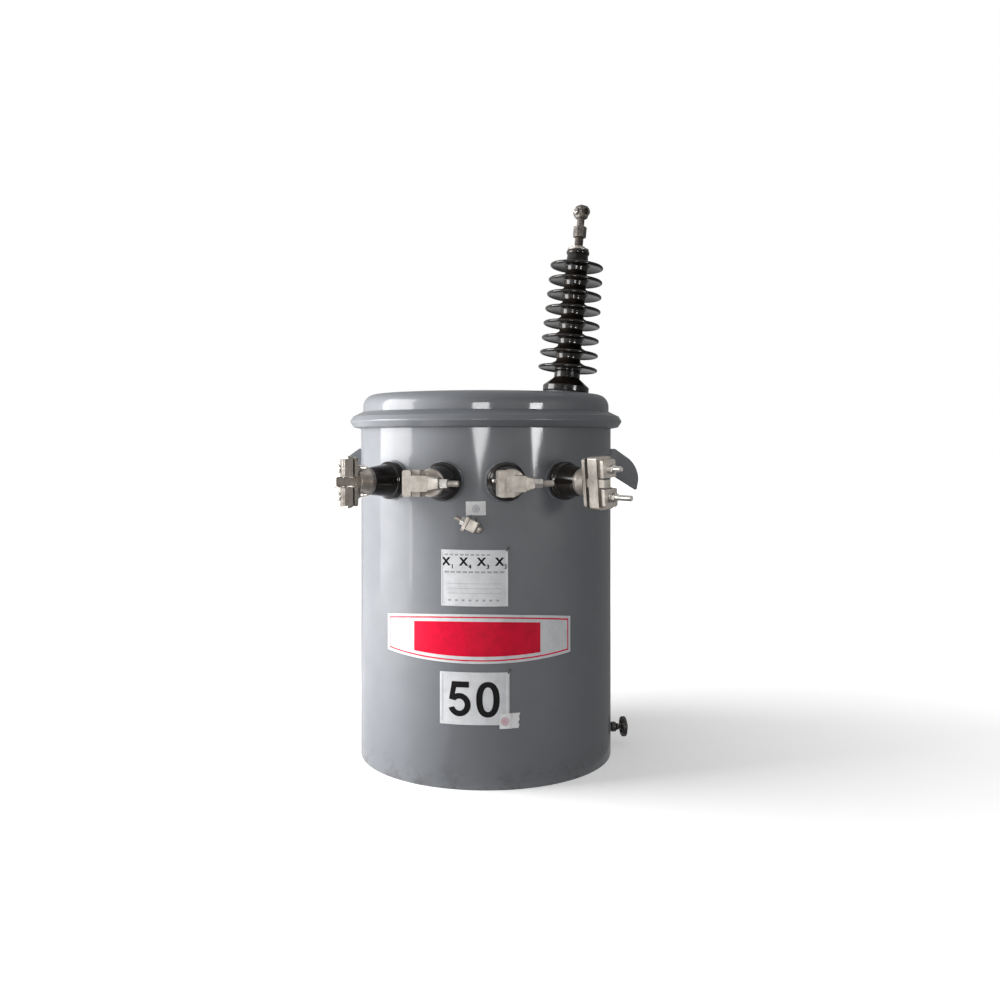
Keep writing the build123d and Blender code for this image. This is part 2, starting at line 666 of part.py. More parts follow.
earth_shank = earth_line * disc(EARTH_SHANK_RADIUS, EARTH_SHANK_LEFT, EARTH_SADDLE_LEFT)
earth_cable = Pos(EARTH_CABLE_SIDE, 0, EARTH_MIDDLE) * Rot(90, 0, 0) * Cylinder(
    EARTH_CABLE_RADIUS, 2 * EARTH_BODY_HEIGHT)
save(along_wall(earth_block + earth_saddle + earth_head + earth_shank - earth_cable), "earth_eye")

earth_nut = extrude(RegularPolygon(EARTH_NUT_RADIUS, 6), EARTH_NUT_LENGTH) - disc(
    EARTH_SHANK_RADIUS, 0, EARTH_NUT_LENGTH)
save(along_wall(earth_line * Pos(0, 0, EARTH_SADDLE_LEFT - EARTH_NUT_LENGTH) * earth_nut), "earth_nut")

# Drain valve low on the right
drain_boss = on_wall(disc(DRAIN_BOSS_RADIUS, -4, DRAIN_BOSS_REACH), DRAIN_ANGLE, DRAIN_HEIGHT)
save(drain_boss - disc(TANK_RADIUS, 0, LIP_TOP), "drain_boss")
drain_body = turned([
    (DRAIN_BORE_RADIUS, DRAIN_BOSS_REACH, 0),
    (DRAIN_BULGE_RADIUS - 2, DRAIN_BOSS_REACH, 0),
    (DRAIN_BULGE_RADIUS, DRAIN_BOSS_REACH + 4, 2),
    (DRAIN_BULGE_RADIUS, DRAIN_BOSS_REACH + 11, 2),
    (DRAIN_NECK_RADIUS, DRAIN_BOSS_REACH + 14, 0),
    (DRAIN_NECK_RADIUS, DRAIN_BODY_END, 0),
    (DRAIN_BORE_RADIUS, DRAIN_BODY_END, 0),
])
save(on_wall(drain_body, DRAIN_ANGLE, DRAIN_HEIGHT), "drain_body")

wheel_rim = turned([
    (WHEEL_INNER_RADIUS, WHEEL_START, 2),
    (WHEEL_RADIUS, WHEEL_START, 3),
    (WHEEL_RADIUS, WHEEL_END, 3),
    (WHEEL_INNER_RADIUS, WHEEL_END, 2),
])
wheel_web = disc(WHEEL_INNER_RADIUS + 0.5, WHEEL_START + 3, WHEEL_END - 3)
wheel_hub = disc(2 * DRAIN_STEM_RADIUS + 1, WHEEL_START, WHEEL_END + 3)
wheel = wheel_rim + wheel_web + wheel_hub + disc(DRAIN_STEM_RADIUS, DRAIN_BOSS_REACH + 2, WHEEL_END + 3)
for scallop in range(WHEEL_SCALLOPS):
    turn = 360 * (scallop + 0.5) / WHEEL_SCALLOPS
    bite = disc(WHEEL_SCALLOP_RADIUS, WHEEL_START - 5, WHEEL_END + 5)
    wheel = wheel - Rot(0, 0, turn) * Pos(WHEEL_RADIUS + 3, 0, 0) * bite
save(on_wall(wheel, DRAIN_ANGLE, DRAIN_HEIGHT), "drain_handwheel")
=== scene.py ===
# %% [markdown]
# # A single-phase pole transformer
# The tank, its cover, the bushings and every clamp come from the CAD model, already in place.
# This script gives them their finish and adds what is too small for the model:
# plates, stickers, weld beads, bolts and threads.

# %% Load the frame
import bpy
import json
from math import atan2, cos, hypot, pi, radians, sin, tan
from mathutils import Matrix, Vector

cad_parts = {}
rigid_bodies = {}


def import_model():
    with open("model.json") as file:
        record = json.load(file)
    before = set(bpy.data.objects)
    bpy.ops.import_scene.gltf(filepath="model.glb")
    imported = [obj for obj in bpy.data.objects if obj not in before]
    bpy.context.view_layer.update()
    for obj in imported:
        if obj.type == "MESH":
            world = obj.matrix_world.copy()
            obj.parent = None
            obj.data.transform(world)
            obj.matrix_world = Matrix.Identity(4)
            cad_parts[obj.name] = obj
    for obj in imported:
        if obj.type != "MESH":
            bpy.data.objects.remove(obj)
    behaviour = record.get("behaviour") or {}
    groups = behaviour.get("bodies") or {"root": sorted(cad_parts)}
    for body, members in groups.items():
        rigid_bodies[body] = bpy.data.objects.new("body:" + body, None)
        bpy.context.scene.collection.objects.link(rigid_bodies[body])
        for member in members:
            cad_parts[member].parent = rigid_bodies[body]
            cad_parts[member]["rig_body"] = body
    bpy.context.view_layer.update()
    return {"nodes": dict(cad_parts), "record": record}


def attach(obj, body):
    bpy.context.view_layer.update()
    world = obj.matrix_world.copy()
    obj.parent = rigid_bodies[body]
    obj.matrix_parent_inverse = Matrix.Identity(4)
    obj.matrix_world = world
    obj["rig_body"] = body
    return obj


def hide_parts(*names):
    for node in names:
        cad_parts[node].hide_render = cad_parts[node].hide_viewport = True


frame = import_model()
bpy.ops.object.select_all(action="DESELECT")
slot_of = {row["node"]: row["material_slot"] for row in frame["record"]["subparts"]}
print("loaded", len(frame["nodes"]), "parts")

# %% [markdown]
# ## The sizes that the small pieces need
# A plate or a weld bead lies on the tank wall, so it needs the wall's radius, and the angle
# and height of what it goes with. Lengths on the wall are in metres. Half sections and
# small fasteners are easier to read in millimetres, as on a drawing.

# %% Sizes of the tank and places on its wall
TANK_RADIUS = 0.250
MM = 0.001
BUSHING_HEIGHT = 0.547
BUSHING_ANGLES = (-38.1, -12.7, 12.7, 38.1)
PAD_RADIUS = 0.033
EARTH_ANGLE, EARTH_HEIGHT = -1.6, 0.473
DRAIN_ANGLE, DRAIN_HEIGHT = 100, 0.035


def turned(angle, axis):
    """Matrix that turns by degrees."""
    return Matrix.Rotation(radians(angle), 4, axis)


def moved(x, y, z):
    """Matrix that moves by millimetres."""
    return Matrix.Translation((x * MM, y * MM, z * MM))


def wall_place(angle, height):
    """Matrix that sets a piece made with X right, Y up and Z outward on the tank wall."""
    return turned(angle, "Z") @ Matrix.Translation((0, -TANK_RADIUS, height)) @ turned(90, "X")


# %% [markdown]
# ## Camera
# The photograph is taken from two metres away, a little above the low-voltage bushings.
# The camera looks level and the frame is shifted down, so upright edges stay upright.

# %% Set the camera
CAMERA_DISTANCE = 2.0226
CAMERA_HEIGHT = 0.621
CAMERA_ANGLE = radians(4.7)


def linked(name, data):
    """New object that shows some data, linked to the scene."""
    made = bpy.data.objects.new(name, data)
    bpy.context.scene.collection.objects.link(made)
    return made


def around(angle, distance, height):
    """Place at an angle from the camera's line, counted towards the right."""
    turn = CAMERA_ANGLE + radians(angle)
    return (sin(turn) * distance, -cos(turn) * distance, height)


camera_data = bpy.data.cameras.new("camera")
camera_data.sensor_width = 36
camera_data.lens = 36.05
camera_data.shift_x = 0.0141
camera_data.shift_y = -0.0602
camera = linked("camera", camera_data)
camera.location = around(0, CAMERA_DISTANCE, CAMERA_HEIGHT)
camera.rotation_euler = (radians(90), 0, CAMERA_ANGLE)
bpy.context.scene.camera = camera
bpy.context.scene.view_settings.view_transform = "Standard"
print("camera at", tuple(camera.location))

# %% [markdown]
# ## A few helpers for node trees
# Every finish is a small tree of nodes. A few short functions make and join them,
# so that each finish below reads as a list of what it is made of.

# %% Helpers for materials


def new_finish(name):
    """A material, its node tree and its shader."""
    finish = bpy.data.materials.new(name)
    finish.use_nodes = True
    return finish, finish.node_tree, finish.node_tree.nodes["Principled BSDF"]


def add_node(tree, kind, **settings):
    made = tree.nodes.new(kind)
    for name, value in settings.items():
        setattr(made, name, value)
    return made


def feed(tree, made, values):
    """Give a node's inputs their values, or join a socket to them."""
    for name, value in values.items():
        if isinstance(value, bpy.types.NodeSocket):
            tree.links.new(value, made.inputs[name])
        else:
            made.inputs[name].default_value = value


def place_in(tree):
    """The Object coordinates, which stay with the surface."""
    return add_node(tree, "ShaderNodeTexCoord").outputs["Object"]


def noise(tree, where, scale, detail=3.0, roughness=0.5):
    made = add_node(tree, "ShaderNodeTexNoise")
    feed(tree, made, {"Vector": where, "Scale": scale, "Detail": detail, "Roughness": roughness})
    return made.outputs["Fac"]


def fit(tree, value, low, high, to_low=0.0, to_high=1.0):
    """Map a range of values to another, held at its ends."""
    made = add_node(tree, "ShaderNodeMapRange")
    feed(tree, made, {"Value": value, "From Min": low, "From Max": high,
                      "To Min": to_low, "To Max": to_high})
    return made.outputs["Result"]


def calc(tree, operation, first, second):
    made = add_node(tree, "ShaderNodeMath", operation=operation)
    for socket, value in zip(made.inputs, (first, second)):
        if isinstance(value, (int, float)):
            socket.default_value = value
        else:
            tree.links.new(value, socket)
    return made.outputs[0]


def blend(tree, share, below, above):
    """Mix two colours; each is a colour or a socket."""
    made = add_node(tree, "ShaderNodeMix", data_type="RGBA")
    tree.links.new(share, made.inputs["Factor"])
    for socket, colour in ((made.inputs[6], below), (made.inputs[7], above)):
        if isinstance(colour, tuple):
            socket.default_value = (*colour, 1)
        else:
            tree.links.new(colour, socket)
    return made.outputs[2]


def bumps(tree, height, distance, strength=1.0, under=None):
    made = add_node(tree, "ShaderNodeBump")
    feed(tree, made, {"Height": height, "Distance": distance, "Strength": strength})
    if under is not None:
        tree.links.new(under, made.inputs["Normal"])
    return made.outputs["Normal"]


# %% [markdown]
# ## The tank's paint
# Oil-filled tanks get a thick glossy grey enamel. Sprayed enamel has a fine orange peel,
# rolled sheet behind it is never quite flat, and dust and scuffs gather near the ground.
# A rough base under a smoother coat gives the broad and the sharp reflection it shows.

# %% Paint


def paint_finish():
    finish, tree, shader = new_finish("tank_enamel")
    where = place_in(tree)
    cloud = fit(tree, noise(tree, where, 7.0, 4.0), 0.3, 0.7)
    tone = blend(tree, cloud, (0.098, 0.106, 0.121), (0.112, 0.121, 0.137))
    speck = fit(tree, noise(tree, where, 260.0, 2.0, 0.6), 0.70, 0.76)
    tone = blend(tree, calc(tree, "MULTIPLY", speck, 0.35), tone, (0.21, 0.21, 0.21))
    parts = add_node(tree, "ShaderNodeSeparateXYZ")
    tree.links.new(where, parts.inputs[0])
    low = fit(tree, parts.outputs["Z"], 0.0, 0.05, 1.0, 0.0)
    scuff = fit(tree, noise(tree, where, 34.0, 6.0, 0.65), 0.48, 0.68)
    dirt = calc(tree, "MULTIPLY", low, scuff)
    tone = blend(tree, calc(tree, "MULTIPLY", dirt, 0.5), tone, (0.045, 0.040, 0.036))
    matt = fit(tree, noise(tree, where, 22.0, 5.0), 0.3, 0.7, 0.60, 0.68)
    rough = calc(tree, "ADD", matt, calc(tree, "MULTIPLY", dirt, 0.3))
    roll = bumps(tree, noise(tree, where, 5.0, 1.0), 0.004, 0.25)
    peel = bumps(tree, noise(tree, where, 420.0, 2.0), 0.00006, 0.35, roll)
    feed(tree, shader, {
        "Base Color": tone, "Roughness": rough, "Specular IOR Level": 0.8, "Normal": peel,
        "Coat Weight": 0.42, "Coat Roughness": 0.09, "Coat Normal": peel})
    return finish


# %% [markdown]
# ## Glazed porcelain, cast connectors, plated steel, rubber and the iron valve
# Porcelain is a near-black brown glass over clay. The connectors are tinned castings with a
# fine sand texture that has dulled. Bolts are zinc plated, with a brighter and finer grain.
# All the rough ones follow one recipe: a stain between two tones, and a grain that catches light.

# %% Other finishes


def porcelain_finish():
    finish, tree, shader = new_finish("black_glaze")
    where = place_in(tree)
    cloud = fit(tree, noise(tree, where, 30.0, 4.0), 0.35, 0.7)
    tone = blend(tree, cloud, (0.007, 0.006, 0.005), (0.018, 0.013, 0.010))
    dust = fit(tree, noise(tree, where, 90.0, 5.0, 0.7), 0.58, 0.74)
    tone = blend(tree, calc(tree, "MULTIPLY", dust, 0.3), tone, (0.07, 0.063, 0.055))
    rough = calc(tree, "ADD", calc(tree, "MULTIPLY", dust, 0.25), 0.16)
    wave = bumps(tree, noise(tree, where, 60.0, 2.0), 0.0006, 0.25)
    feed(tree, shader, {
        "Base Color": tone, "Roughness": rough, "Specular IOR Level": 0.4, "Normal": wave})
    return finish


def grained_finish(name, stain, tones, metallic, roughness, grain, pits=None):
    """Stained and grained surface.

    stain is a noise (scale, detail, roughness) and the two values between which it shows,
    tones are the clean and the stained colour, and roughness is theirs, or one for both.
    grain is (scale, detail, roughness, distance, strength) of the bumps, finest first.
    pits is the scale and colour of fine dark pits.
    """
    finish, tree, shader = new_finish(name)
    where = place_in(tree)
    *pattern, low, high = stain
    stained = fit(tree, noise(tree, where, *pattern), low, high)
    tone = blend(tree, stained, *tones)
    if pits:
        pit = fit(tree, noise(tree, where, pits[0], 3.0, 0.6), 0.62, 0.72)
        tone = blend(tree, calc(tree, "MULTIPLY", pit, 0.6), tone, pits[1])
    if isinstance(roughness, tuple):
        roughness = fit(tree, stained, 0.0, 1.0, *roughness)
    normal = None
    for scale, detail, soft, distance, strength in grain:
        height = noise(tree, where, scale, detail, soft)
        normal = bumps(tree, height, distance, strength, normal)
    feed(tree, shader, {
        "Base Color": tone, "Metallic": metallic, "Roughness": roughness, "Normal": normal})
    return finish


finishes = {
    "tank_paint": paint_finish(),
    "black_porcelain": porcelain_finish(),
    "tinned_bronze": grained_finish(
        "tinned_casting", (55.0, 5.0, 0.6, 0.35, 0.68),
        ((0.40, 0.372, 0.340), (0.235, 0.207, 0.180)), 0.85, (0.36, 0.56),
        [(900.0, 3.0, 0.6, 0.00012, 0.5), (120.0, 2.0, 0.5, 0.0004, 0.3)],
        pits=(600.0, (0.10, 0.088, 0.075))),
    "plated_steel": grained_finish(
        "zinc_plate", (130.0, 4.0, 0.5, 0.35, 0.7),
        ((0.60, 0.58, 0.55), (0.44, 0.42, 0.39)), 1.0, (0.24, 0.42),
        [(700.0, 2.0, 0.5, 0.00008, 0.4)]),
    "gasket_rubber": grained_finish(
        "gasket_rubber", (150.0, 3.0, 0.5, 0.0, 1.0),
        ((0.012, 0.012, 0.012), (0.035, 0.033, 0.031)), 0.0, 0.75,
        [(800.0, 3.0, 0.5, 0.0001, 0.5)]),
    "valve_iron": grained_finish(
        "valve_iron", (160.0, 5.0, 0.65, 0.5, 0.72),
        ((0.050, 0.047, 0.045), (0.085, 0.055, 0.038)), 0.4, (0.38, 0.65),
        [(600.0, 3.0, 0.5, 0.0002, 0.5)]),
    "core_steel": grained_finish(
        "core_sheet", (40.0, 4.0, 0.5, 0.0, 1.0),
        ((0.20, 0.21, 0.22), (0.11, 0.11, 0.12)), 1.0, 0.45,
        [(500.0, 2.0, 0.5, 0.0001, 0.4)]),
    "coil_paper": grained_finish(
        "coil_wrap", (70.0, 5.0, 0.5, 0.0, 1.0),
        ((0.30, 0.20, 0.09), (0.20, 0.12, 0.05)), 0.0, 0.6,
        [(300.0, 3.0, 0.5, 0.0003, 0.5)]),
}

# The high-voltage head is a like casting, darker and rougher from the weather.
weathered = grained_finish(
    "weathered_casting", (90.0, 5.0, 0.6, 0.38, 0.66),
    ((0.150, 0.133, 0.117), (0.060, 0.053, 0.047)), 0.75, (0.42, 0.62),
    [(170.0, 3.0, 0.6, 0.0016, 0.6)])
weathered_nodes = ("hv_stud", "hv_nut", "hv_terminal")
print("finishes for", ", ".join(finishes))

# %% [markdown]
# ## Rounded edges on the CAD parts
# A CAD solid has knife-sharp edges, and nothing cast, pressed or painted has those.
# A copy of each part is merged, its flat faces are joined, and a small bevel runs along
# the sharp edges. It is under a millimetre, but it catches the light as a real edge does.

# %% Dress each part
MERGE = 0.005 * MM
edge_radius = {
    "tank_paint": 0.8, "black_porcelain": 0.6, "tinned_bronze": 0.9, "plated_steel": 0.4,
    "gasket_rubber": 0.4, "valve_iron": 0.6, "core_steel": 0.8, "coil_paper": 2.0,
}


def work_on(piece):
    """Select one piece alone and make it the active one."""
    bpy.ops.object.select_all(action="DESELECT")
    piece.select_set(True)
    bpy.context.view_layer.objects.active = piece


def apply_all(piece):
    work_on(piece)
    for modifier in list(piece.modifiers):
        bpy.ops.object.modifier_apply(modifier=modifier.name)


def edit_all(piece):
    """Open one piece in edit mode with all of it selected."""
    work_on(piece)
    bpy.ops.object.mode_set(mode="EDIT")
    bpy.ops.mesh.select_all(action="SELECT")


def coat(piece, finish, limit=32):
    """Shade a piece smooth below an angle and give it one finish.

    Large faces decide the normals. Without the weighing, a bevel's normals would lean
    into the long face beside it and bend its reflections.
    """
    work_on(piece)
    bpy.ops.object.shade_smooth_by_angle(angle=radians(limit))
    weigh = piece.modifiers.new("weigh", "WEIGHTED_NORMAL")
    weigh.keep_sharp = True
    apply_all(piece)
    piece.data.materials.clear()
    piece.data.materials.append(finish)


def fix_place(piece, matrix):
    """Write a piece's place into its mesh, so that the object stays at the origin."""
    piece.data.transform(matrix)
    piece.matrix_world = Matrix.Identity(4)
    piece.data.update()


def stand_in(piece, node, place=Matrix.Identity(4)):
    """Put a piece in its place, with the finish of a node, to stand for that node."""
    fix_place(piece, place)
    coat(piece, weathered if node in weathered_nodes else finishes[slot_of[node]])
    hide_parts(node)
    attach(piece, frame["nodes"][node]["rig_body"])
    return piece


def dress(node):
    """Stand a merged copy with rounded edges in for a CAD part."""
    source = frame["nodes"][node]
    piece = linked(node + "_dressed", source.data.copy())
    work_on(piece)
    bpy.ops.mesh.customdata_custom_splitnormals_clear()
    edit_all(piece)
    bpy.ops.mesh.remove_doubles(threshold=MERGE)
    bpy.ops.mesh.dissolve_limited(angle_limit=radians(0.4))
    bpy.ops.object.mode_set(mode="OBJECT")
    rounding = piece.modifiers.new("edges", "BEVEL")
    rounding.limit_method = "ANGLE"
    rounding.angle_limit = radians(38)
    rounding.width = edge_radius[slot_of[node]] * MM
    rounding.segments = 2
    apply_all(piece)
    return stand_in(piece, node)


turned_nodes = ["hv_insulator", "hv_cap", "hv_stud"]
for number in "1234":
    turned_nodes += ["lv_insulator_" + number, "lv_stud_" + number]
for node in sorted(frame["nodes"]):
    if node not in turned_nodes:
        dressed = dress(node)
        print(node, len(dressed.data.polygons), "faces")

# %% [markdown]
# ## Turned parts: porcelain, cups and studs
# Porcelain is turned on a wheel before it is fired, so its shape is half a section swept
# round an axis. The Spin operator does just that: a row of edges drawn as the half section
# goes through a full turn, and its seam is merged. That gives a rounder and smoother surface
# than the triangles of the CAD part, whose dimensions are repeated here in millimetres.

# %% Draw a half section and spin it
SPIN_STEPS = 96


def rounded(outline, steps=4):
    """Points of a closed half section given as (radius, height, corner rounding)."""
    points = []
    for index, (radius, height, rounding) in enumerate(outline):
        corner = Vector((radius, height))
        if not rounding:
            points.append(corner)
            continue
        before = Vector(outline[index - 1][:2]) - corner
        after = Vector(outline[(index + 1) % len(outline)][:2]) - corner
        reach = rounding / tan(before.angle(after) / 2)
        start = corner + before.normalized() * reach
        end = corner + after.normalized() * reach
        for step in range(steps + 1):
            share = step / steps
            from_start = start * (1 - share) ** 2 + corner * 2 * share * (1 - share)
            points.append(from_start + end * share ** 2)
    return points


def arc(start, through, end, steps=6):
    """Points on the arc from start through a middle point to end, after the start."""
    (ax, ay), (bx, by), (cx, cy) = start, through, end
    double_area = 2 * (ax * (by - cy) + bx * (cy - ay) + cx * (ay - by))
    a_square, b_square, c_square = ax * ax + ay * ay, bx * bx + by * by, cx * cx + cy * cy
    centre_x = (a_square * (by - cy) + b_square * (cy - ay) + c_square * (ay - by)) / double_area
    centre_y = (a_square * (cx - bx) + b_square * (ax - cx) + c_square * (bx - ax)) / double_area
    first = atan2(ay - centre_y, ax - centre_x)
    sweep = (atan2(cy - centre_y, cx - centre_x) - first) % (2 * pi)
    if (atan2(by - centre_y, bx - centre_x) - first) % (2 * pi) > sweep:
        sweep -= 2 * pi
    radius = hypot(ax - centre_x, ay - centre_y)
    turns = [first + sweep * step / steps for step in range(1, steps + 1)]
    return [(centre_x + radius * cos(turn), centre_y + radius * sin(turn)) for turn in turns]


def from_points(name, points, edges, faces):
    """New object from the points, edges and faces of its mesh."""
    mesh = bpy.data.meshes.new(name)
    mesh.from_pydata(points, edges, faces)
    return linked(name, mesh)


def spun(name, outline, steps=SPIN_STEPS):
    """Spin a half section of (radius, height) points in millimetres round Z."""
    edges = [(index, index + 1) for index in range(len(outline) - 1)]
    if outline[0][0] > 0:
        edges.append((len(outline) - 1, 0))
    section = [(radius * MM, 0, height * MM) for radius, height in outline]
    piece = from_points(name, section, edges, [])
    edit_all(piece)
    bpy.ops.mesh.spin(steps=steps, angle=2 * pi, center=(0, 0, 0), axis=(0, 0, 1))
    bpy.ops.mesh.select_all(action="SELECT")
    bpy.ops.mesh.remove_doubles(threshold=MERGE)
    bpy.ops.mesh.normals_make_consistent(inside=False)
    bpy.ops.object.mode_set(mode="OBJECT")
    return piece


def join(pieces, name):
    bpy.ops.object.select_all(action="DESELECT")
    for piece in pieces:
        piece.select_set(True)
    bpy.context.view_layer.objects.active = pieces[0]
    bpy.ops.object.join()
    pieces[0].name = name
    return pieces[0]


# %% [markdown]
# ## The high-voltage bushing
# Eight sheds make the way over the surface long, so that rain can't join one end to the other.
# Each is hollow underneath and ends in a round drip rim. The bushing leans outward.

# %% High-voltage porcelain with its metal cap
HV_GASKET_TOP = 8.5
HV_FLANGE_RADIUS, HV_FLANGE_TOP, HV_CONE_TOP = 47, 20, 37
HV_CORE_RADIUS, HV_CORE_TAPER, HV_CORE_TOP = 27, 5, 303
HV_SHEDS, HV_FIRST_SHED, HV_SHED_PITCH = 8, 57, 30.3
HV_SHED_RADIUS, HV_SHED_TAPER, HV_RIM = 60.6, 6, 3.1
HV_BEAD_RADIUS, HV_BEAD_BOTTOM = 23.7, 293
HV_WAIST, HV_LEAN = 1.2, 6.2
hv_place = turned(105, "Z") @ moved(0, -165, 710) @ turned(20, "Z") @ turned(HV_LEAN, "X")


def core_radius(height):
    return HV_CORE_RADIUS - HV_CORE_TAPER * height / HV_CORE_TOP


def shed_points(number):
    """Half section of one shed, from its hollow underside over the rim to its top."""
    height = HV_FIRST_SHED + number * HV_SHED_PITCH
    tip = HV_SHED_RADIUS - HV_SHED_TAPER * number / (HV_SHEDS - 1)
    core = core_radius(height)
    root_low = (core, height - 4)
    hollow_inside = (core + 6, height + 2.5)
    hollow_outside = (tip - 2.2 * HV_RIM, height - 0.8)
    rim_low = (tip - 1.3 * HV_RIM, height - HV_RIM)
    rim_high = (tip - HV_RIM, height + HV_RIM)
    root_high = (core_radius(height + 14), height + 14)
    top_middle = ((rim_high[0] + root_high[0]) / 2, height + 6.2)
    points = [root_low] + arc(root_low, (core + 1.8, height + 0.7), hollow_inside)
    points += [hollow_outside, rim_low] + arc(rim_low, (tip, height), rim_high, 8)
    return points + arc(rim_high, top_middle, root_high, 10)


hv_points = rounded([
    (0, HV_GASKET_TOP, 0),
    (HV_FLANGE_RADIUS, HV_GASKET_TOP, 1.5),
    (HV_FLANGE_RADIUS, HV_FLANGE_TOP, 2.5),
    (core_radius(HV_CONE_TOP), HV_CONE_TOP, 3),
    (core_radius(HV_CONE_TOP + 5), HV_CONE_TOP + 5, 0),
])
for number in range(HV_SHEDS):
    if number:
        above, below = shed_points(number)[0], hv_points[-1]
        waist = ((above[0] + below[0]) / 2 - HV_WAIST, (above[1] + below[1]) / 2)
        hv_points.extend(arc(below, waist, above)[:-1])
    hv_points.extend(shed_points(number))
bead_low = (HV_BEAD_RADIUS - 2.5, HV_BEAD_BOTTOM)
bead_middle = (HV_BEAD_RADIUS, (HV_BEAD_BOTTOM + HV_CORE_TOP) / 2)
bead_high = (HV_BEAD_RADIUS - 2.5, HV_CORE_TOP)
hv_points += [bead_low] + arc(bead_low, bead_middle, bead_high) + [(0, HV_CORE_TOP)]
hv_porcelain = spun("hv_insulator_turned", hv_points)
stand_in(hv_porcelain, "hv_insulator", hv_place)

hv_metal_cap = spun("hv_cap_turned", rounded([
    (0, 303, 0), (22, 303, 0.8), (22, 306.5, 1.2), (14.6, 306.5, 0),
    (14, 307.2, 0.5), (14, 311, 0.8), (0, 311, 0),
]))
stand_in(hv_metal_cap, "hv_cap", hv_place)
print("porcelain", len(hv_porcelain.data.polygons), "faces")

# %% [markdown]
# ## Threads
# A thread this fine looks like a stack of sharp rings. The half section is a zigzag,
# and spinning it costs far fewer faces than a true helix.

# %% Threads


def thread_outline(radius, start, end, pitch=1.75, depth=0.9):
    """Half section of a threaded rod with a bevelled end."""
    points = [(0, start), (radius - depth, start)]
    turns = max(2, round((end - start - depth) / pitch))
    step = (end - start - depth) / turns
    for turn in range(turns):
        points.append((radius, start + (turn + 0.5) * step))
        points.append((radius - depth, start + (turn + 1) * step))
    return points + [(radius - 1.6 * depth, end), (0, end)]


def finish_piece(piece, finish, body="tank", smooth=32):
    """Smooth a piece, give it its finish and tell the frame what it rides on."""
    coat(piece, finish, smooth)
    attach(piece, body)
    return piece


def fasten(piece, place, slot="plated_steel"):
    """Put a fastener in its place, with the finish of its slot."""
    fix_place(piece, place)
    return finish_piece(piece, finishes[slot])


def thread(name, radius, start, end, place, slot="plated_steel", pitch=1.75):
    """Threaded rod along Z between two heights in millimetres."""
    return fasten(spun(name, thread_outline(radius, start, end, pitch), 32), place, slot)


hv_stud = spun("hv_stud_threaded", thread_outline(9, 311, 331, 2.5, 1.1), 48)
stand_in(hv_stud, "hv_stud", hv_place)
print("stud", len(hv_stud.data.polygons), "faces")

# %% [markdown]
# ## The four low-voltage bushings
# Each has a black insulator that tapers outward from a flange, and a cast cup on its end.
# The outer two cups carry a flat tang, which is a cube stretched to its size and bevelled.

# %% Low-voltage insulators, cups and tangs
OUTER_CUP_END = {1: 90, 4: 80}
OUTER_TURN = {1: 0, 4: 4.3}


def settled(name, scale=(1, 1, 1)):
    """Name the primitive just added and write its place and size into its mesh."""
    piece = bpy.context.active_object
    piece.name = name
    piece.scale = scale
    bpy.ops.object.transform_apply(location=True, rotation=True, scale=True)
    return piece


def bevelled(piece, width, segments):
    """Round a piece's edges."""
    edge = piece.modifiers.new("edge", "BEVEL")
    edge.width = width
    edge.segments = segments
    apply_all(piece)
    return piece


def local_bar(name, low, high):
    """Bevelled bar between two corners in millimetres."""
    bpy.ops.object.select_all(action="DESELECT")
    middle = [(a + b) / 2 * MM for a, b in zip(low, high)]
    bpy.ops.mesh.primitive_cube_add(size=1, location=middle)
    piece = settled(name, [(b - a) * MM for a, b in zip(low, high)])
    return bevelled(piece, 0.8 * MM, 3)


for number, angle in enumerate(BUSHING_ANGLES, start=1):
    place = wall_place(angle, BUSHING_HEIGHT)
    insulator = spun("lv_insulator_turned_" + str(number), rounded([
        (0, 6, 0), (34.5, 6, 2), (34.5, 15, 4), (30, 18, 3), (24, 62, 3), (0, 62, 0),
    ]))
    stand_in(insulator, "lv_insulator_" + str(number), place)
    if number in OUTER_CUP_END:
        end = OUTER_CUP_END[number]
        cup = spun("cup", rounded([
            (0, 62, 0), (25.5, 62, 2), (25.5, 70, 3), (18, end, 2), (0, end, 0),
        ]))
        tang = local_bar("tang", (-14, -7.2, end - 1), (1, 7.2, 134))
        cup = join([cup, tang], "lv_stud_turned_" + str(number))
        place = place @ turned(OUTER_TURN[number], "Z")
    else:
        cup = spun("lv_stud_turned_" + str(number), rounded([
            (0, 62, 0), (24.5, 62, 2), (24.5, 70, 3), (0, 70, 0),
        ]))
    stand_in(cup, "lv_stud_" + str(number), place)
print("turned", len(turned_nodes), "parts")

# %% [markdown]
# ## Bolts, nuts and threads of the connectors
# A clamp bolt is a round head, a shank and a six-sided nut. The nut starts as a cylinder with
# six sides. A bevel takes off its corners, as the chamfer of a real nut does.

# %% Nuts and bolt heads
FASTENER_STEPS = 48
BOLT_SHIFT, BOLT_RISE = 4, 24


def nut(name, radius, start, end, place):
    """Six-sided nut along Z between two heights in millimetres."""
    bpy.ops.object.select_all(action="DESELECT")
    bpy.ops.mesh.primitive_cylinder_add(
        vertices=6, radius=radius * MM, depth=(end - start) * MM,
        location=(0, 0, (start + end) / 2 * MM))
    return fasten(bevelled(settled(name), 0.9 * MM, 3), place)


def washer(name, radius, start, end, place):
    section = rounded([(0, start, 0), (radius, start, 0.4), (radius, end, 0.4), (0, end, 0)])
    return fasten(spun(name, section, FASTENER_STEPS), place)


def round_head(name, radius, start, end, place):
    """Low domed bolt head."""
    height = end - start
    edge = (radius, start + 0.3 * height)
    shoulder = (0.97 * radius, edge[1] + 0.3)
    dome = [(0, start), (radius, start)] + arc((radius, start), edge, shoulder, 2)
    dome += arc(shoulder, (0.6 * radius, start + 0.85 * height), (0, end))
    return fasten(spun(name, dome, FASTENER_STEPS), place)


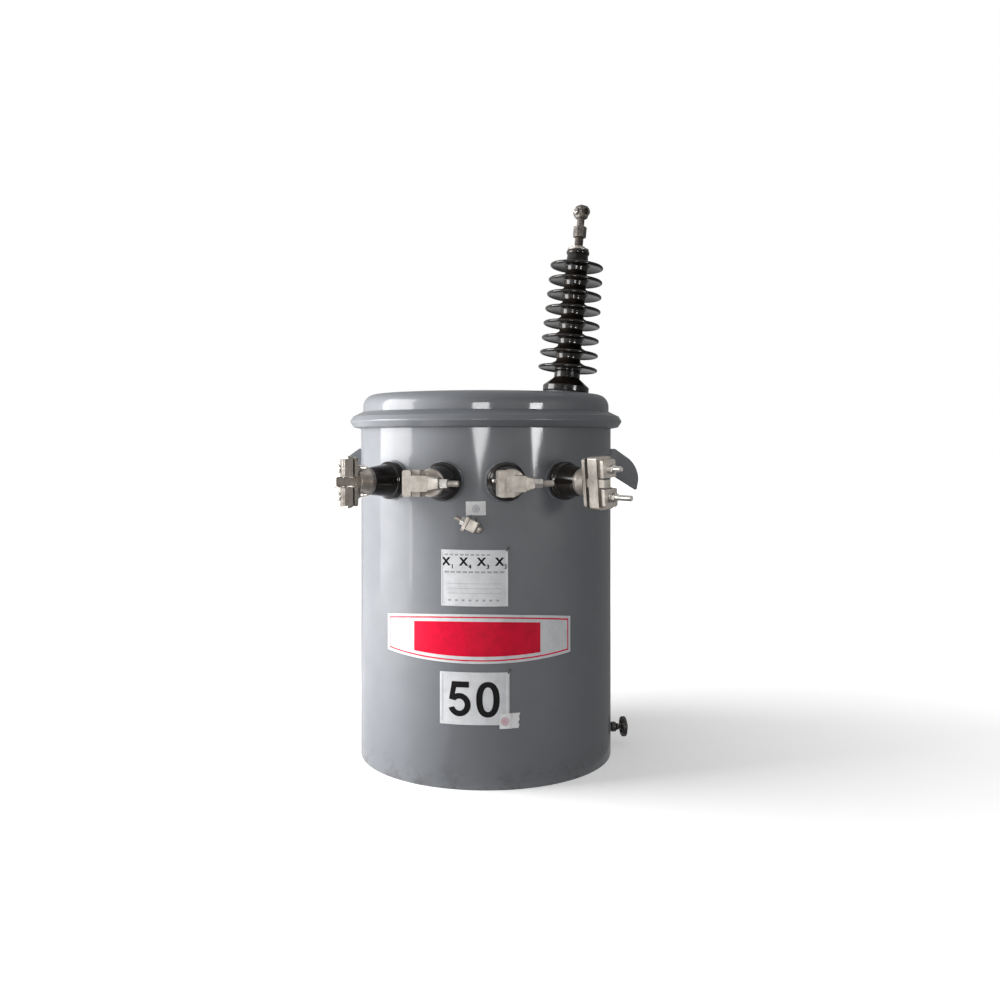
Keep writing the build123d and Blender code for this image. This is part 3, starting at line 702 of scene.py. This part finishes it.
# Heights are in millimetres from the wall. The left clamp has its nuts on the tank's side.
for end_name, rise in (("upper", BOLT_RISE), ("lower", -BOLT_RISE)):
    left = wall_place(BUSHING_ANGLES[0], BUSHING_HEIGHT) @ moved(BOLT_SHIFT, rise, 0)
    facing_tank = left @ turned(180, "X")
    round_head("clamp_head_1_" + end_name, 9, 134, 137.5, left)
    washer("clamp_washer_1_" + end_name, 9.5, 95.4, 97, left)
    nut("clamp_nut_1_" + end_name, 8.2, 87.6, 95.4, left)
    thread("clamp_thread_1_" + end_name, 5, -95.4, -70, facing_tank)

    right = wall_place(BUSHING_ANGLES[3], BUSHING_HEIGHT) @ turned(OUTER_TURN[4], "Z")
    right = right @ moved(BOLT_SHIFT, rise, 0)
    reach = 160 if end_name == "upper" else 182
    nut("clamp_head_4_" + end_name, 8.2, 74, 80, right)
    washer("clamp_washer_4_" + end_name, 9.5, 134, 135.6, right)
    nut("clamp_nut_4_" + end_name, 8.2, 135.6, 143.5, right)
    thread("clamp_thread_4_" + end_name, 5, 134, reach, right)

# %% Shank threads of the eye connectors, and small screws
EYE_AXIS = 88
SCREW_PITCH = 1.2
for number, shift in ((2, -10), (3, 0)):
    place = wall_place(BUSHING_ANGLES[number - 1], BUSHING_HEIGHT)
    along = place @ moved(shift, 0, EYE_AXIS) @ turned(90, "Y")
    thread("eye_thread_" + str(number), 5.5, 47, 68.6, along, "tinned_bronze")

left_of_eye = wall_place(BUSHING_ANGLES[2], BUSHING_HEIGHT) @ moved(0, 5, EYE_AXIS)
thread("eye_screw", 3.2, 24, 37, left_of_eye @ turned(-90, "Y"), pitch=SCREW_PITCH)

screw_side = hv_place @ moved(0, 0, 383.5) @ turned(-90, "X")
round_head("hv_screw_head", 5.5, 13.5, 17.5, screw_side)
thread("hv_screw_thread", 3.5, 12, 21, screw_side, pitch=SCREW_PITCH)

earth_eye = wall_place(EARTH_ANGLE, EARTH_HEIGHT) @ turned(-26, "Z")
earth_line = earth_eye @ moved(0, 0, 18) @ turned(90, "Y")
thread("earth_thread", 3.9, -28.4, -15.6, earth_line, "tinned_bronze", 1.25)
print("small fasteners are on")

# %% [markdown]
# ## Plates on the tank
# Plates and stickers are flat sheets bent round the wall. Each is drawn flat in X and Z,
# given its thickness towards -Y, and bent with the Simple Deform modifier: an angle of
# width divided by radius is exactly the wall's own curve.

# %% Finishes of plates and print


def plain_print(name, colour, darker, roughness, grain=60.0, gloss=0.5):
    """Printed or enamelled sheet: slightly uneven colour and a fine grain."""
    finish, tree, shader = new_finish(name)
    where = place_in(tree)
    cloud = fit(tree, noise(tree, where, grain, 5.0, 0.6), 0.42, 0.72)
    tone = blend(tree, cloud, colour, darker)
    feed(tree, shader, {
        "Base Color": tone, "Roughness": roughness, "Specular IOR Level": gloss,
        "Normal": bumps(tree, noise(tree, where, 500.0), 0.00005, 0.4)})
    return finish


white_plate = plain_print("plate_white", (0.74, 0.75, 0.77), (0.64, 0.65, 0.67), 0.38)
red_print = plain_print("plate_red", (0.80, 0.004, 0.040), (0.66, 0.003, 0.032), 0.35, gloss=0.12)
ink = plain_print("plate_ink", (0.008, 0.007, 0.008), (0.014, 0.012, 0.012), 0.5, gloss=0.1)
faint_ink = plain_print("faint_ink", (0.33, 0.33, 0.34), (0.45, 0.45, 0.46), 0.5, 300.0)
paper = plain_print("sticker_paper", (0.88, 0.88, 0.89), (0.78, 0.78, 0.79), 0.7, 120.0)
stamp_pink = plain_print("stamp_pink", (0.62, 0.38, 0.43), (0.74, 0.56, 0.60), 0.7, 300.0)
stamp_grey = plain_print("stamp_grey", (0.58, 0.56, 0.59), (0.72, 0.71, 0.73), 0.7, 300.0)

# %% Bend a flat piece round the wall


def sides(piece):
    """Lowest and highest x of a piece."""
    places = [vertex.co.x for vertex in piece.data.vertices]
    return min(places), max(places)


def cut_upright(piece, step=6 * MM):
    """Cut a flat piece into narrow upright strips, so that it can bend."""
    work_on(piece)
    low, high = sides(piece)
    bpy.ops.object.mode_set(mode="EDIT")
    cuts = int((high - low) / step)
    for cut in range(1, cuts + 1):
        bpy.ops.mesh.select_all(action="SELECT")
        place = low + (high - low) * cut / (cuts + 1)
        bpy.ops.mesh.bisect(plane_co=(place, 0, 0), plane_no=(1, 0, 0))
    bpy.ops.object.mode_set(mode="OBJECT")


def bend_on_tank(piece, angle, height, lift):
    """Bend a piece drawn in X and Z, outward towards -Y, round the tank."""
    low, high = sides(piece)
    bend = piece.modifiers.new("bend", "SIMPLE_DEFORM")
    bend.deform_method = "BEND"
    bend.deform_axis = "Z"
    bend.angle = (high - low) / (TANK_RADIUS + lift)
    apply_all(piece)
    reach = Matrix.Translation((0, -TANK_RADIUS - lift, height))
    fix_place(piece, turned(angle, "Z") @ reach)


def bend_aside(piece, angle, height, lift):
    """Bend a piece that isn't drawn round its own middle, and keep it where it was drawn."""
    middle = sum(sides(piece)) / 2
    piece.data.transform(Matrix.Translation((-middle, 0, 0)))
    bend_on_tank(piece, angle + middle / TANK_RADIUS * 180 / pi, height, lift)


def flat_sheet(name, width, height, thickness, rim=0.0):
    """Thin sheet in X and Z with a bevelled edge, and a raised rim if asked."""
    bpy.ops.object.select_all(action="DESELECT")
    bpy.ops.mesh.primitive_cube_add(size=1, location=(0, -thickness / 2, 0))
    piece = settled(name, (width, thickness, height))
    if rim:
        bpy.ops.object.mode_set(mode="EDIT")
        bpy.ops.mesh.select_mode(type="FACE")
        bpy.ops.mesh.select_all(action="DESELECT")
        bpy.ops.object.mode_set(mode="OBJECT")
        for face in piece.data.polygons:
            face.select = face.normal.y < -0.9
        bpy.ops.object.mode_set(mode="EDIT")
        bpy.ops.mesh.inset(thickness=rim, depth=0)
        bpy.ops.mesh.inset(thickness=rim * 0.4, depth=-thickness * 0.45)
        bpy.ops.object.mode_set(mode="OBJECT")
    return bevelled(piece, thickness * 0.3, 2)


def thicken(piece, thickness):
    """Extrude a flat piece towards -Y."""
    edit_all(piece)
    bpy.ops.mesh.extrude_region_move(TRANSFORM_OT_translate={"value": (0, -thickness, 0)})
    bpy.ops.mesh.select_all(action="SELECT")
    bpy.ops.mesh.normals_make_consistent(inside=False)
    bpy.ops.object.mode_set(mode="OBJECT")
    return piece


def outline_sheet(name, points, thickness):
    """Thin sheet cut to an outline of (x, z) points."""
    flat = from_points(name, [(x, 0, z) for x, z in points], [], [list(range(len(points)))])
    return thicken(flat, thickness)


# %% [markdown]
# ## The nameplate
# A small enamelled plate below the bushings, with the marks of their four terminals.
# The marks are a font's letters made into a mesh, and the fine lines are ruled strokes.

# %% Nameplate
PLATE_LIFT = 0.5 * MM
PLATE_THICKNESS = 1.2 * MM
NAMEPLATE = (0.120, 0.100)
NAMEPLATE_HEIGHT = 0.376
INK_THICKNESS = 0.12 * MM

nameplate = flat_sheet("nameplate", *NAMEPLATE, PLATE_THICKNESS, 2.0 * MM)
cut_upright(nameplate)
bend_on_tank(nameplate, 0, NAMEPLATE_HEIGHT, PLATE_LIFT)
finish_piece(nameplate, white_plate)


def stroke(x, z, width, height):
    """Corners of one small rectangle of print, given its middle and size."""
    half, rise = width / 2, height / 2
    corners = ((-half, -rise), (half, -rise), (half, rise), (-half, rise))
    return [(x + across, z + up) for across, up in corners]


def print_strokes(name, strokes, angle, height, lift, finish):
    """Small shapes of print, each a row of (x, z) corners, as one thin mesh on the wall."""
    points, faces = [], []
    for corners in strokes:
        faces.append(list(range(len(points), len(points) + len(corners))))
        points.extend((x, 0, z) for x, z in corners)
    piece = from_points(name, points, [], faces)
    edit_all(piece)
    bpy.ops.mesh.remove_doubles(threshold=0.01 * MM)
    bpy.ops.mesh.quads_convert_to_tris()
    bpy.ops.object.mode_set(mode="OBJECT")
    cut_upright(piece)
    thicken(piece, INK_THICKNESS)
    bend_aside(piece, angle, height, lift)
    return finish_piece(piece, finish)


def written(name, text, size, x, z, weight=0.0):
    """Plain figures or letters as a flat mesh in X and Z, centred on (x, z)."""
    data = bpy.data.curves.new(name, "FONT")
    data.body = text
    data.size = size
    data.offset = weight
    data.extrude = INK_THICKNESS / 2
    data.align_x = "CENTER"
    data.align_y = "CENTER"
    piece = linked(name, data)
    work_on(piece)
    bpy.ops.object.convert(target="MESH")
    piece.data.transform(Matrix.Translation((x, 0, z)) @ turned(90, "X"))
    return piece


FLOOR_OF_PLATE = PLATE_LIFT + 0.72 * MM
FIRST_MARK, MARK_PITCH = -0.0512, 0.0320
text_marks = []
for order, mark in enumerate("1432"):
    column = FIRST_MARK + order * MARK_PITCH
    text_marks.append(written("mark_x", "X", 0.0190, column, 0.0284, 0.0009))
    text_marks.append(written("mark_figure", mark, 0.0100, column + 0.0115, 0.0200, 0.0004))
marks = join(text_marks, "nameplate_marks")
bend_aside(marks, 0, NAMEPLATE_HEIGHT, FLOOR_OF_PLATE)
finish_piece(marks, ink)

# Rows of short strokes: count, first, pitch and height of the row, then a stroke's size.
stroke_rows = (
    (9, -0.051, 0.0095, 0.0412, 0.0062, 0.0030),
    (10, -0.050, 0.0110, 0.0105, 0.0080, 0.0034),
    (8, -0.0445, 0.0123, -0.0395, 0.0048, 0.0034),
)
ruled = []
for count, first, pitch, *rest in stroke_rows:
    ruled += [stroke(first + pitch * column, *rest) for column in range(count)]
ruled += [stroke(0.0, -0.010 - 0.0085 * row, 0.098, 0.0005) for row in range(3)]
print("nameplate has", len(ruled), "ruled strokes")
print_strokes("nameplate_lines", ruled, 0, NAMEPLATE_HEIGHT, FLOOR_OF_PLATE, faint_ink)

# %% [markdown]
# ## The maker's plate
# A wide white plate with upright ends and bowed long edges, a thin red line round it and
# a red field in the middle. The line is a red sheet with a smaller white one on it.

# %% Maker's plate
BADGE_WIDTH, BADGE_END = 0.365, 0.0325
BADGE_BOWS = (0.0115, 0.0110)
BADGE_FIELD = (0.236, 0.0265, 0.0045, 0.0045)
BADGE_ANGLE, BADGE_HEIGHT = 0.6, 0.268
LAYER = 0.1 * MM


def badge_outline(width, end, top_bow, bottom_bow, steps=32):
    """Outline with upright ends and bowed long sides, as (x, z) points."""
    points = []
    for step in range(steps + 1):
        across = -1 + 2 * step / steps
        points.append((across * width / 2, -end - bottom_bow * (1 - across * across)))
    for step in range(steps + 1):
        across = 1 - 2 * step / steps
        points.append((across * width / 2, end + top_bow * (1 - across * across)))
    return points


def inset(edge):
    """The plate's own outline, drawn in from its edge."""
    return badge_outline(BADGE_WIDTH - 2 * edge, BADGE_END - edge, *BADGE_BOWS)


def badge_layer(name, points, thickness, lift, finish):
    """One layer of the plate, bent round the wall."""
    piece = outline_sheet(name, points, thickness)
    cut_upright(piece)
    bend_on_tank(piece, BADGE_ANGLE, BADGE_HEIGHT, lift)
    return finish_piece(piece, finish)


face = PLATE_LIFT + PLATE_THICKNESS
badge_layer("badge_plate", inset(0), PLATE_THICKNESS, PLATE_LIFT, white_plate)
badge_layer("badge_line", inset(4.2 * MM), LAYER, face, red_print)
badge_layer("badge_inside", inset(6.6 * MM), LAYER, face + LAYER, white_plate)
badge_layer("badge_field", badge_outline(*BADGE_FIELD), INK_THICKNESS, face + 2 * LAYER,
            red_print)

# %% [markdown]
# ## The rating plate
# A white plate with two large figures, the transformer's rating.

# %% Rating plate and its figures
RATING_PLATE = (0.125, 0.093)
RATING_THICKNESS, RATING_RIM = 1.4 * MM, 4.0 * MM
RATING_HEIGHT = 0.1625

rating = flat_sheet("rating_plate", *RATING_PLATE, RATING_THICKNESS, RATING_RIM)
cut_upright(rating)
bend_on_tank(rating, 0, RATING_HEIGHT, PLATE_LIFT)
finish_piece(rating, white_plate)


def oval(middle, half_width, half_height, first, last, steps, power=1.0):
    """Points (x, z) on part of an oval; a power under one makes it squarer."""
    points = []
    for step in range(steps + 1):
        turn = radians(first + (last - first) * step / steps)
        across, up = cos(turn), sin(turn)
        x = middle[0] + half_width * abs(across) ** power * (1 if across > 0 else -1)
        z = middle[1] + half_height * abs(up) ** power * (1 if up > 0 else -1)
        points.append((x * MM, z * MM))
    return points


def five(x, z):
    """Outline of a bold five: a flat bar, a slanting stem and an open bowl."""
    bowl = (x, z - 10.3)
    bar = ((-13.5, 31), (17.5, 31), (17.5, 20.4), (-5.6, 20.4))
    top = [((x + across) * MM, (z + up) * MM) for across, up in bar]
    foot = ((x - 18.9) * MM, (z - 0.8) * MM)
    outside = oval(bowl, 20.5, 20.7, 114, -163, 28)
    inside = oval(bowl, 9.7, 10.7, -163, 138, 24)
    return top + outside + inside + [foot]


def ring(outside, inside):
    """Quads between two outlines with as many points."""
    return [[outside[k], outside[k + 1], inside[k + 1], inside[k]]
            for k in range(len(outside) - 1)]


def nought(x, z):
    """Quads of a tall rounded ring."""
    return ring(oval((x, z), 20.9, 31.5, 0, 360, 48, 0.88),
                oval((x, z), 9.6, 21.7, 0, 360, 48, 0.88))


FIGURES_LIFT = PLATE_LIFT + 0.86 * MM
print_strokes("figure_five", [five(-26.7, -0.8)], 0, RATING_HEIGHT, FIGURES_LIFT, ink)
print_strokes("figure_nought", nought(24.1, -1.4), 0, RATING_HEIGHT, FIGURES_LIFT, ink)
print("plates are on")

# %% [markdown]
# ## Paper stickers
# Two inspection stickers with a round stamp. The upper one is a plain small sheet. The lower
# one laps over the corner of the rating plate and then drops to the wall, and its right
# edge is torn. The paper follows the step because each of its points is moved in code.

# %% Stickers with round stamps


def sticker(name, points, angle, height, tilt, lift, lap=None):
    """Sheet of paper on the wall; lap is where it leaves a plate, in metres of its own x."""
    piece = outline_sheet(name, points, 0.15 * MM)
    piece.data.transform(turned(tilt, "Y"))
    cut_upright(piece, 1.2 * MM)
    if lap is not None:
        for vertex in piece.data.vertices:
            share = min(max((vertex.co.x - lap) / (5 * MM), 0), 1)
            vertex.co.y += lift * share * share * (3 - 2 * share) * 0.85
    bend_on_tank(piece, angle, height, lift)
    return finish_piece(piece, paper)


def stamp(name, radius, angle, height, lift, finish):
    """Round blurred stamp: a ring and a spot in its middle."""
    outside, inside, spot = [
        oval((0, 0), radius * share, radius * share, 0, 360, 32) for share in (1, 0.72, 0.62)]
    return print_strokes(name, ring(outside, inside) + [spot[:-1]], angle, height, lift, finish)


UPPER_STICKER = (35.5 * MM, 25 * MM)
sticker("upper_sticker", stroke(0, 0, *UPPER_STICKER), 0.6, 0.4996, -1.2, 0.2 * MM)
stamp("upper_stamp", 7, 0.7, 0.4990, 0.38 * MM, stamp_grey)

LOWER_STICKER_ANGLE = 14.5
torn = [(x * MM, z * MM) for x, z in (
    (-19, -13.5), (15.5, -13.5), (17.5, -7), (15.0, -3.5),
    (18.0, 2), (16.5, 6.5), (19, 13.5), (-19, 13.5))]
sticker("lower_sticker", torn, LOWER_STICKER_ANGLE, 0.1228, 0, 2.1 * MM, 0.4 * MM)
stamp("lower_stamp", 7.5, LOWER_STICKER_ANGLE - 2.1, 0.1222, 2.3 * MM, stamp_pink)

# %% Short dark rods at the upper right corners of two plates
# Each is a short rod in dark iron lying across the plate's upper right corner, turned 38 degrees;
# it stands for a small dark mark there.
for name, angle, height in (("nameplate_corner_rod", 13.6, 0.4275), ("rating_corner_rod", 14.2, 0.2105)):
    corner_rod = spun(name, rounded([(0, 0, 0), (1.5, 0, 0.7), (1.5, 9, 0.9), (0, 9, 0)]), 24)
    lying = wall_place(angle, height) @ turned(-38, "Z")
    fasten(corner_rod, lying @ moved(0, -4.5, 1.4) @ turned(-90, "X"), "valve_iron")
print("stickers and pins are on")

# %% [markdown]
# ## Weld beads
# Every pad, lug and bracket is welded to the tank. A bead is a ring or a line of metal
# with fine ripples. It starts as a torus or a round bar, a little noise ripples it, and the
# tank's paint covers it.

# %% Weld beads round pads and bosses
WIDE_BEAD, NARROW_BEAD = 2.4 * MM, 1.8 * MM


def rippled(piece, thickness):
    """Give a bead its ripples."""
    ripple = bpy.data.textures.new(piece.name + "_ripple", "CLOUDS")
    ripple.noise_scale = 0.004
    swell = piece.modifiers.new("ripple", "DISPLACE")
    swell.texture = ripple
    swell.strength = thickness * 0.7
    apply_all(piece)


def bead_ring(name, radius, thickness, angle, height):
    """Rippled ring on the wall, or round Y at the origin where it has no angle."""
    bpy.ops.object.select_all(action="DESELECT")
    bpy.ops.mesh.primitive_torus_add(
        major_radius=radius, minor_radius=thickness, major_segments=96, minor_segments=10,
        rotation=(radians(90), 0, 0))
    piece = settled(name)
    rippled(piece, thickness)
    if angle is not None:
        bend_on_tank(piece, angle, height, 0)
    return finish_piece(piece, finishes["tank_paint"], smooth=60)


for number, angle in enumerate(BUSHING_ANGLES, start=1):
    bead_ring("pad_weld_" + str(number), PAD_RADIUS + 1.5 * MM, WIDE_BEAD, angle, BUSHING_HEIGHT)
bead_ring("earth_weld", 13.2 * MM, NARROW_BEAD, EARTH_ANGLE, EARTH_HEIGHT)
bead_ring("drain_weld", 14.2 * MM, NARROW_BEAD, DRAIN_ANGLE, DRAIN_HEIGHT)

boss_weld = bead_ring("hv_boss_weld", 45 * MM, WIDE_BEAD, None, 0)
fix_place(boss_weld, hv_place @ moved(0, 0, 1.2) @ turned(90, "X"))

# %% Weld beads along lugs, hangers and the seam at the back


def upright_bead(name, x, y, low, high, thickness):
    """Rippled bead on the wall from one height to another."""
    start, end = Vector((x, y, low)), Vector((x, y, high))
    bpy.ops.object.select_all(action="DESELECT")
    bpy.ops.mesh.primitive_cylinder_add(
        vertices=10, radius=thickness, depth=(end - start).length,
        rotation=(0, radians(90), 0))
    piece = settled(name)
    cut_upright(piece, 2.2 * MM)
    rippled(piece, thickness)
    turn = (end - start).to_track_quat("X", "Z").to_matrix().to_4x4()
    fix_place(piece, Matrix.Translation((start + end) / 2) @ turn)
    return finish_piece(piece, finishes["tank_paint"], smooth=60)


LUG_HALF, LUG_LOW, LUG_HIGH = 4.5 * MM, 0.553, 0.603
for name, side in (("right", 1), ("left", -1)):
    for where, across in (("_front", -LUG_HALF), ("_back", LUG_HALF)):
        upright_bead("lug_weld_" + name + where,
                     side * TANK_RADIUS, across, LUG_LOW, LUG_HIGH, 2.2 * MM)

HANGER_HALF, HANGER_RISE = 38 * MM, 0.042
HANGER_WALL = (TANK_RADIUS ** 2 - HANGER_HALF ** 2) ** 0.5
for name, middle in (("lower", 0.217), ("upper", 0.503)):
    for where, across in (("_left", -HANGER_HALF), ("_right", HANGER_HALF)):
        upright_bead("hanger_weld_" + name + where, across, HANGER_WALL,
                     middle - HANGER_RISE, middle + HANGER_RISE, 2.6 * MM)

SEAM_ANGLE = radians(140)
SEAM_LOW, SEAM_HIGH = 0.004, 0.645
seam_x, seam_y = sin(SEAM_ANGLE) * TANK_RADIUS, -cos(SEAM_ANGLE) * TANK_RADIUS
upright_bead("tank_seam", seam_x, seam_y, SEAM_LOW, SEAM_HIGH, 1.6 * MM)
print("weld beads are on")

# %% [markdown]
# ## Floor and light
# A pale floor and a white surround stand in for a studio. One large soft panel at the left
# is the main light, as in the photograph, and a dim even light from the surround fills in.
# The camera and the reflections see both brighter than they shine, so the background comes
# out white and the shadows stay. Near the tank the floor glows less: a painted shade round it.

# %% Floor
bpy.ops.object.select_all(action="DESELECT")
bpy.ops.mesh.primitive_plane_add(size=60, location=(0, 0, 0))
floor = bpy.context.active_object
floor.name = "floor"
floor_finish, tree, shader = new_finish("pale_floor")
where = place_in(tree)
grain = noise(tree, where, 18.0, 4.0)
tone = blend(tree, grain, (0.80, 0.80, 0.80), (0.84, 0.84, 0.84))
feed(tree, shader, {"Base Color": tone, "Roughness": 0.9, "Specular IOR Level": 0.0})


def seen_directly(tree):
    """One for camera, glossy and transmission rays, nought for the others."""
    path = add_node(tree, "ShaderNodeLightPath")
    share = calc(tree, "MAXIMUM", path.outputs["Is Camera Ray"], path.outputs["Is Glossy Ray"])
    return calc(tree, "MAXIMUM", share, path.outputs["Is Transmission Ray"])


glow = add_node(tree, "ShaderNodeEmission")
distance = add_node(tree, "ShaderNodeVectorMath", operation="LENGTH")
tree.links.new(where, distance.inputs[0])
# Painted shade: the floor's glow is weakest near the tank and full from 2 m out, so the floor
# darkens towards the tank on top of its real shadow.
far = fit(tree, distance.outputs["Value"], 0.3, 2.0, 0.36, 1.0)
tree.links.new(calc(tree, "MULTIPLY", far, seen_directly(tree)), glow.inputs["Strength"])
both = add_node(tree, "ShaderNodeAddShader")
tree.links.new(shader.outputs[0], both.inputs[0])
tree.links.new(glow.outputs[0], both.inputs[1])
tree.links.new(both.outputs[0], tree.nodes["Material Output"].inputs["Surface"])
floor.data.materials.append(floor_finish)

# %% Surround
AMBIENT = 0.32
world = bpy.data.worlds.new("surround")
bpy.context.scene.world = world
world.use_nodes = True
tree = world.node_tree
strength = fit(tree, seen_directly(tree), 0.0, 1.0, AMBIENT, 1.0)
feed(tree, tree.nodes["Background"], {"Color": (1, 1, 1, 1), "Strength": strength})

# %% Main light


def soft_panel(name, place, target, width, height, power):
    """Soft light that looks from a place to a target."""
    lamp = bpy.data.lights.new(name, "AREA")
    lamp.shape = "RECTANGLE"
    lamp.size = width
    lamp.size_y = height
    lamp.energy = power
    panel = linked(name, lamp)
    panel.location = place
    panel.rotation_euler = (Vector(target) - Vector(place)).to_track_quat("-Z", "Y").to_euler()
    panel.visible_camera = False


PANEL_HEIGHT = 1.02
soft_panel("window_left", around(-85, 2.3, PANEL_HEIGHT), (0, 0, PANEL_HEIGHT), 1.6, 2.0, 132)

# %% [markdown]
# ## What the gloss reflects
# A glossy tank shows the room round it, and these surfaces make that room. Only reflections
# see them, so they light nothing and cast no shadow. Two bright panes give the wall its
# streaks, which narrow downwards because the panes do. A scrim dims the lower part of the
# main light. Dark cloth lies and hangs at the right, and paler cloth at the back, as
# photographers use them to keep gloss from washing out.

# %% Bright panes
WINDOW_DISTANCE = 2.6
WINDOW_TOP = 0.95


def reflected_only(name, places, faces, strength):
    """Even bright or dark surface that only reflections see."""
    surface = from_points(name, places, [], faces)
    even, tree, shader = new_finish(name)
    feed(tree, shader, {
        "Base Color": (0, 0, 0, 1), "Specular IOR Level": 0.0,
        "Emission Color": (1, 1, 1, 1), "Emission Strength": strength})
    surface.data.materials.append(even)
    surface.visible_camera = False
    surface.visible_diffuse = False
    surface.visible_shadow = False


def window(name, corners, strength):
    """Bright pane through (angle, height) corners."""
    places = [around(angle, WINDOW_DISTANCE, height) for angle, height in corners]
    reflected_only(name, places, [list(range(len(places)))], strength)


window("window_front_left", [
    (-5.5, 0.456), (-2.4, 0.5465), (2.6, 0.654), (3, WINDOW_TOP),
    (-11.5, WINDOW_TOP), (-11, 0.654), (-8.2, 0.5465),
], 30)
window("window_front_right", [
    (41, 0.47), (44, 0.5465), (49, 0.654), (49.5, WINDOW_TOP),
    (38, WINDOW_TOP), (38.4, 0.654), (39.6, 0.5465),
], 40)

# %% A scrim before the lower part of the left panel
SCRIM_DISTANCE = 2.1
SCRIM_LOW, SCRIM_TOP = 5 * MM, 0.545
SCRIM_LEFT, SCRIM_RIGHT = -103, -66.5
reflected_only("left_scrim", [
    around(SCRIM_LEFT, SCRIM_DISTANCE, SCRIM_LOW), around(SCRIM_RIGHT, SCRIM_DISTANCE, SCRIM_LOW),
    around(SCRIM_RIGHT, SCRIM_DISTANCE, SCRIM_TOP), around(SCRIM_LEFT, SCRIM_DISTANCE, SCRIM_TOP),
], [(0, 1, 2, 3)], 5)

# %% Dark and grey cloth
CLOTH_INNER, CLOTH_RADIUS = 0.27, 2.8
CLOTH_LOW, CLOTH_TOP = 2 * MM, 4.0
CLOTH_STEPS = 48
CLOTH_CHANGE = 168


def cloth(name, first_angle, last_angle, strength):
    """Cloth that lies on the floor and hangs behind it, between two angles."""
    places, strips = [], []
    for step in range(CLOTH_STEPS + 1):
        angle = first_angle + (last_angle - first_angle) * step / CLOTH_STEPS
        places.append(around(angle, CLOTH_INNER, CLOTH_LOW))
        places.append(around(angle, CLOTH_RADIUS, CLOTH_LOW))
        places.append(around(angle, CLOTH_RADIUS, CLOTH_TOP))
    for first in range(0, 3 * CLOTH_STEPS, 3):
        strips.append((first, first + 1, first + 4, first + 3))
        strips.append((first + 1, first + 2, first + 5, first + 4))
    reflected_only(name, places, strips, strength)


cloth("dark_cloth", -25, CLOTH_CHANGE, 0.28)
cloth("grey_cloth", CLOTH_CHANGE, 215, 0.62)
print("light and its reflections are set")
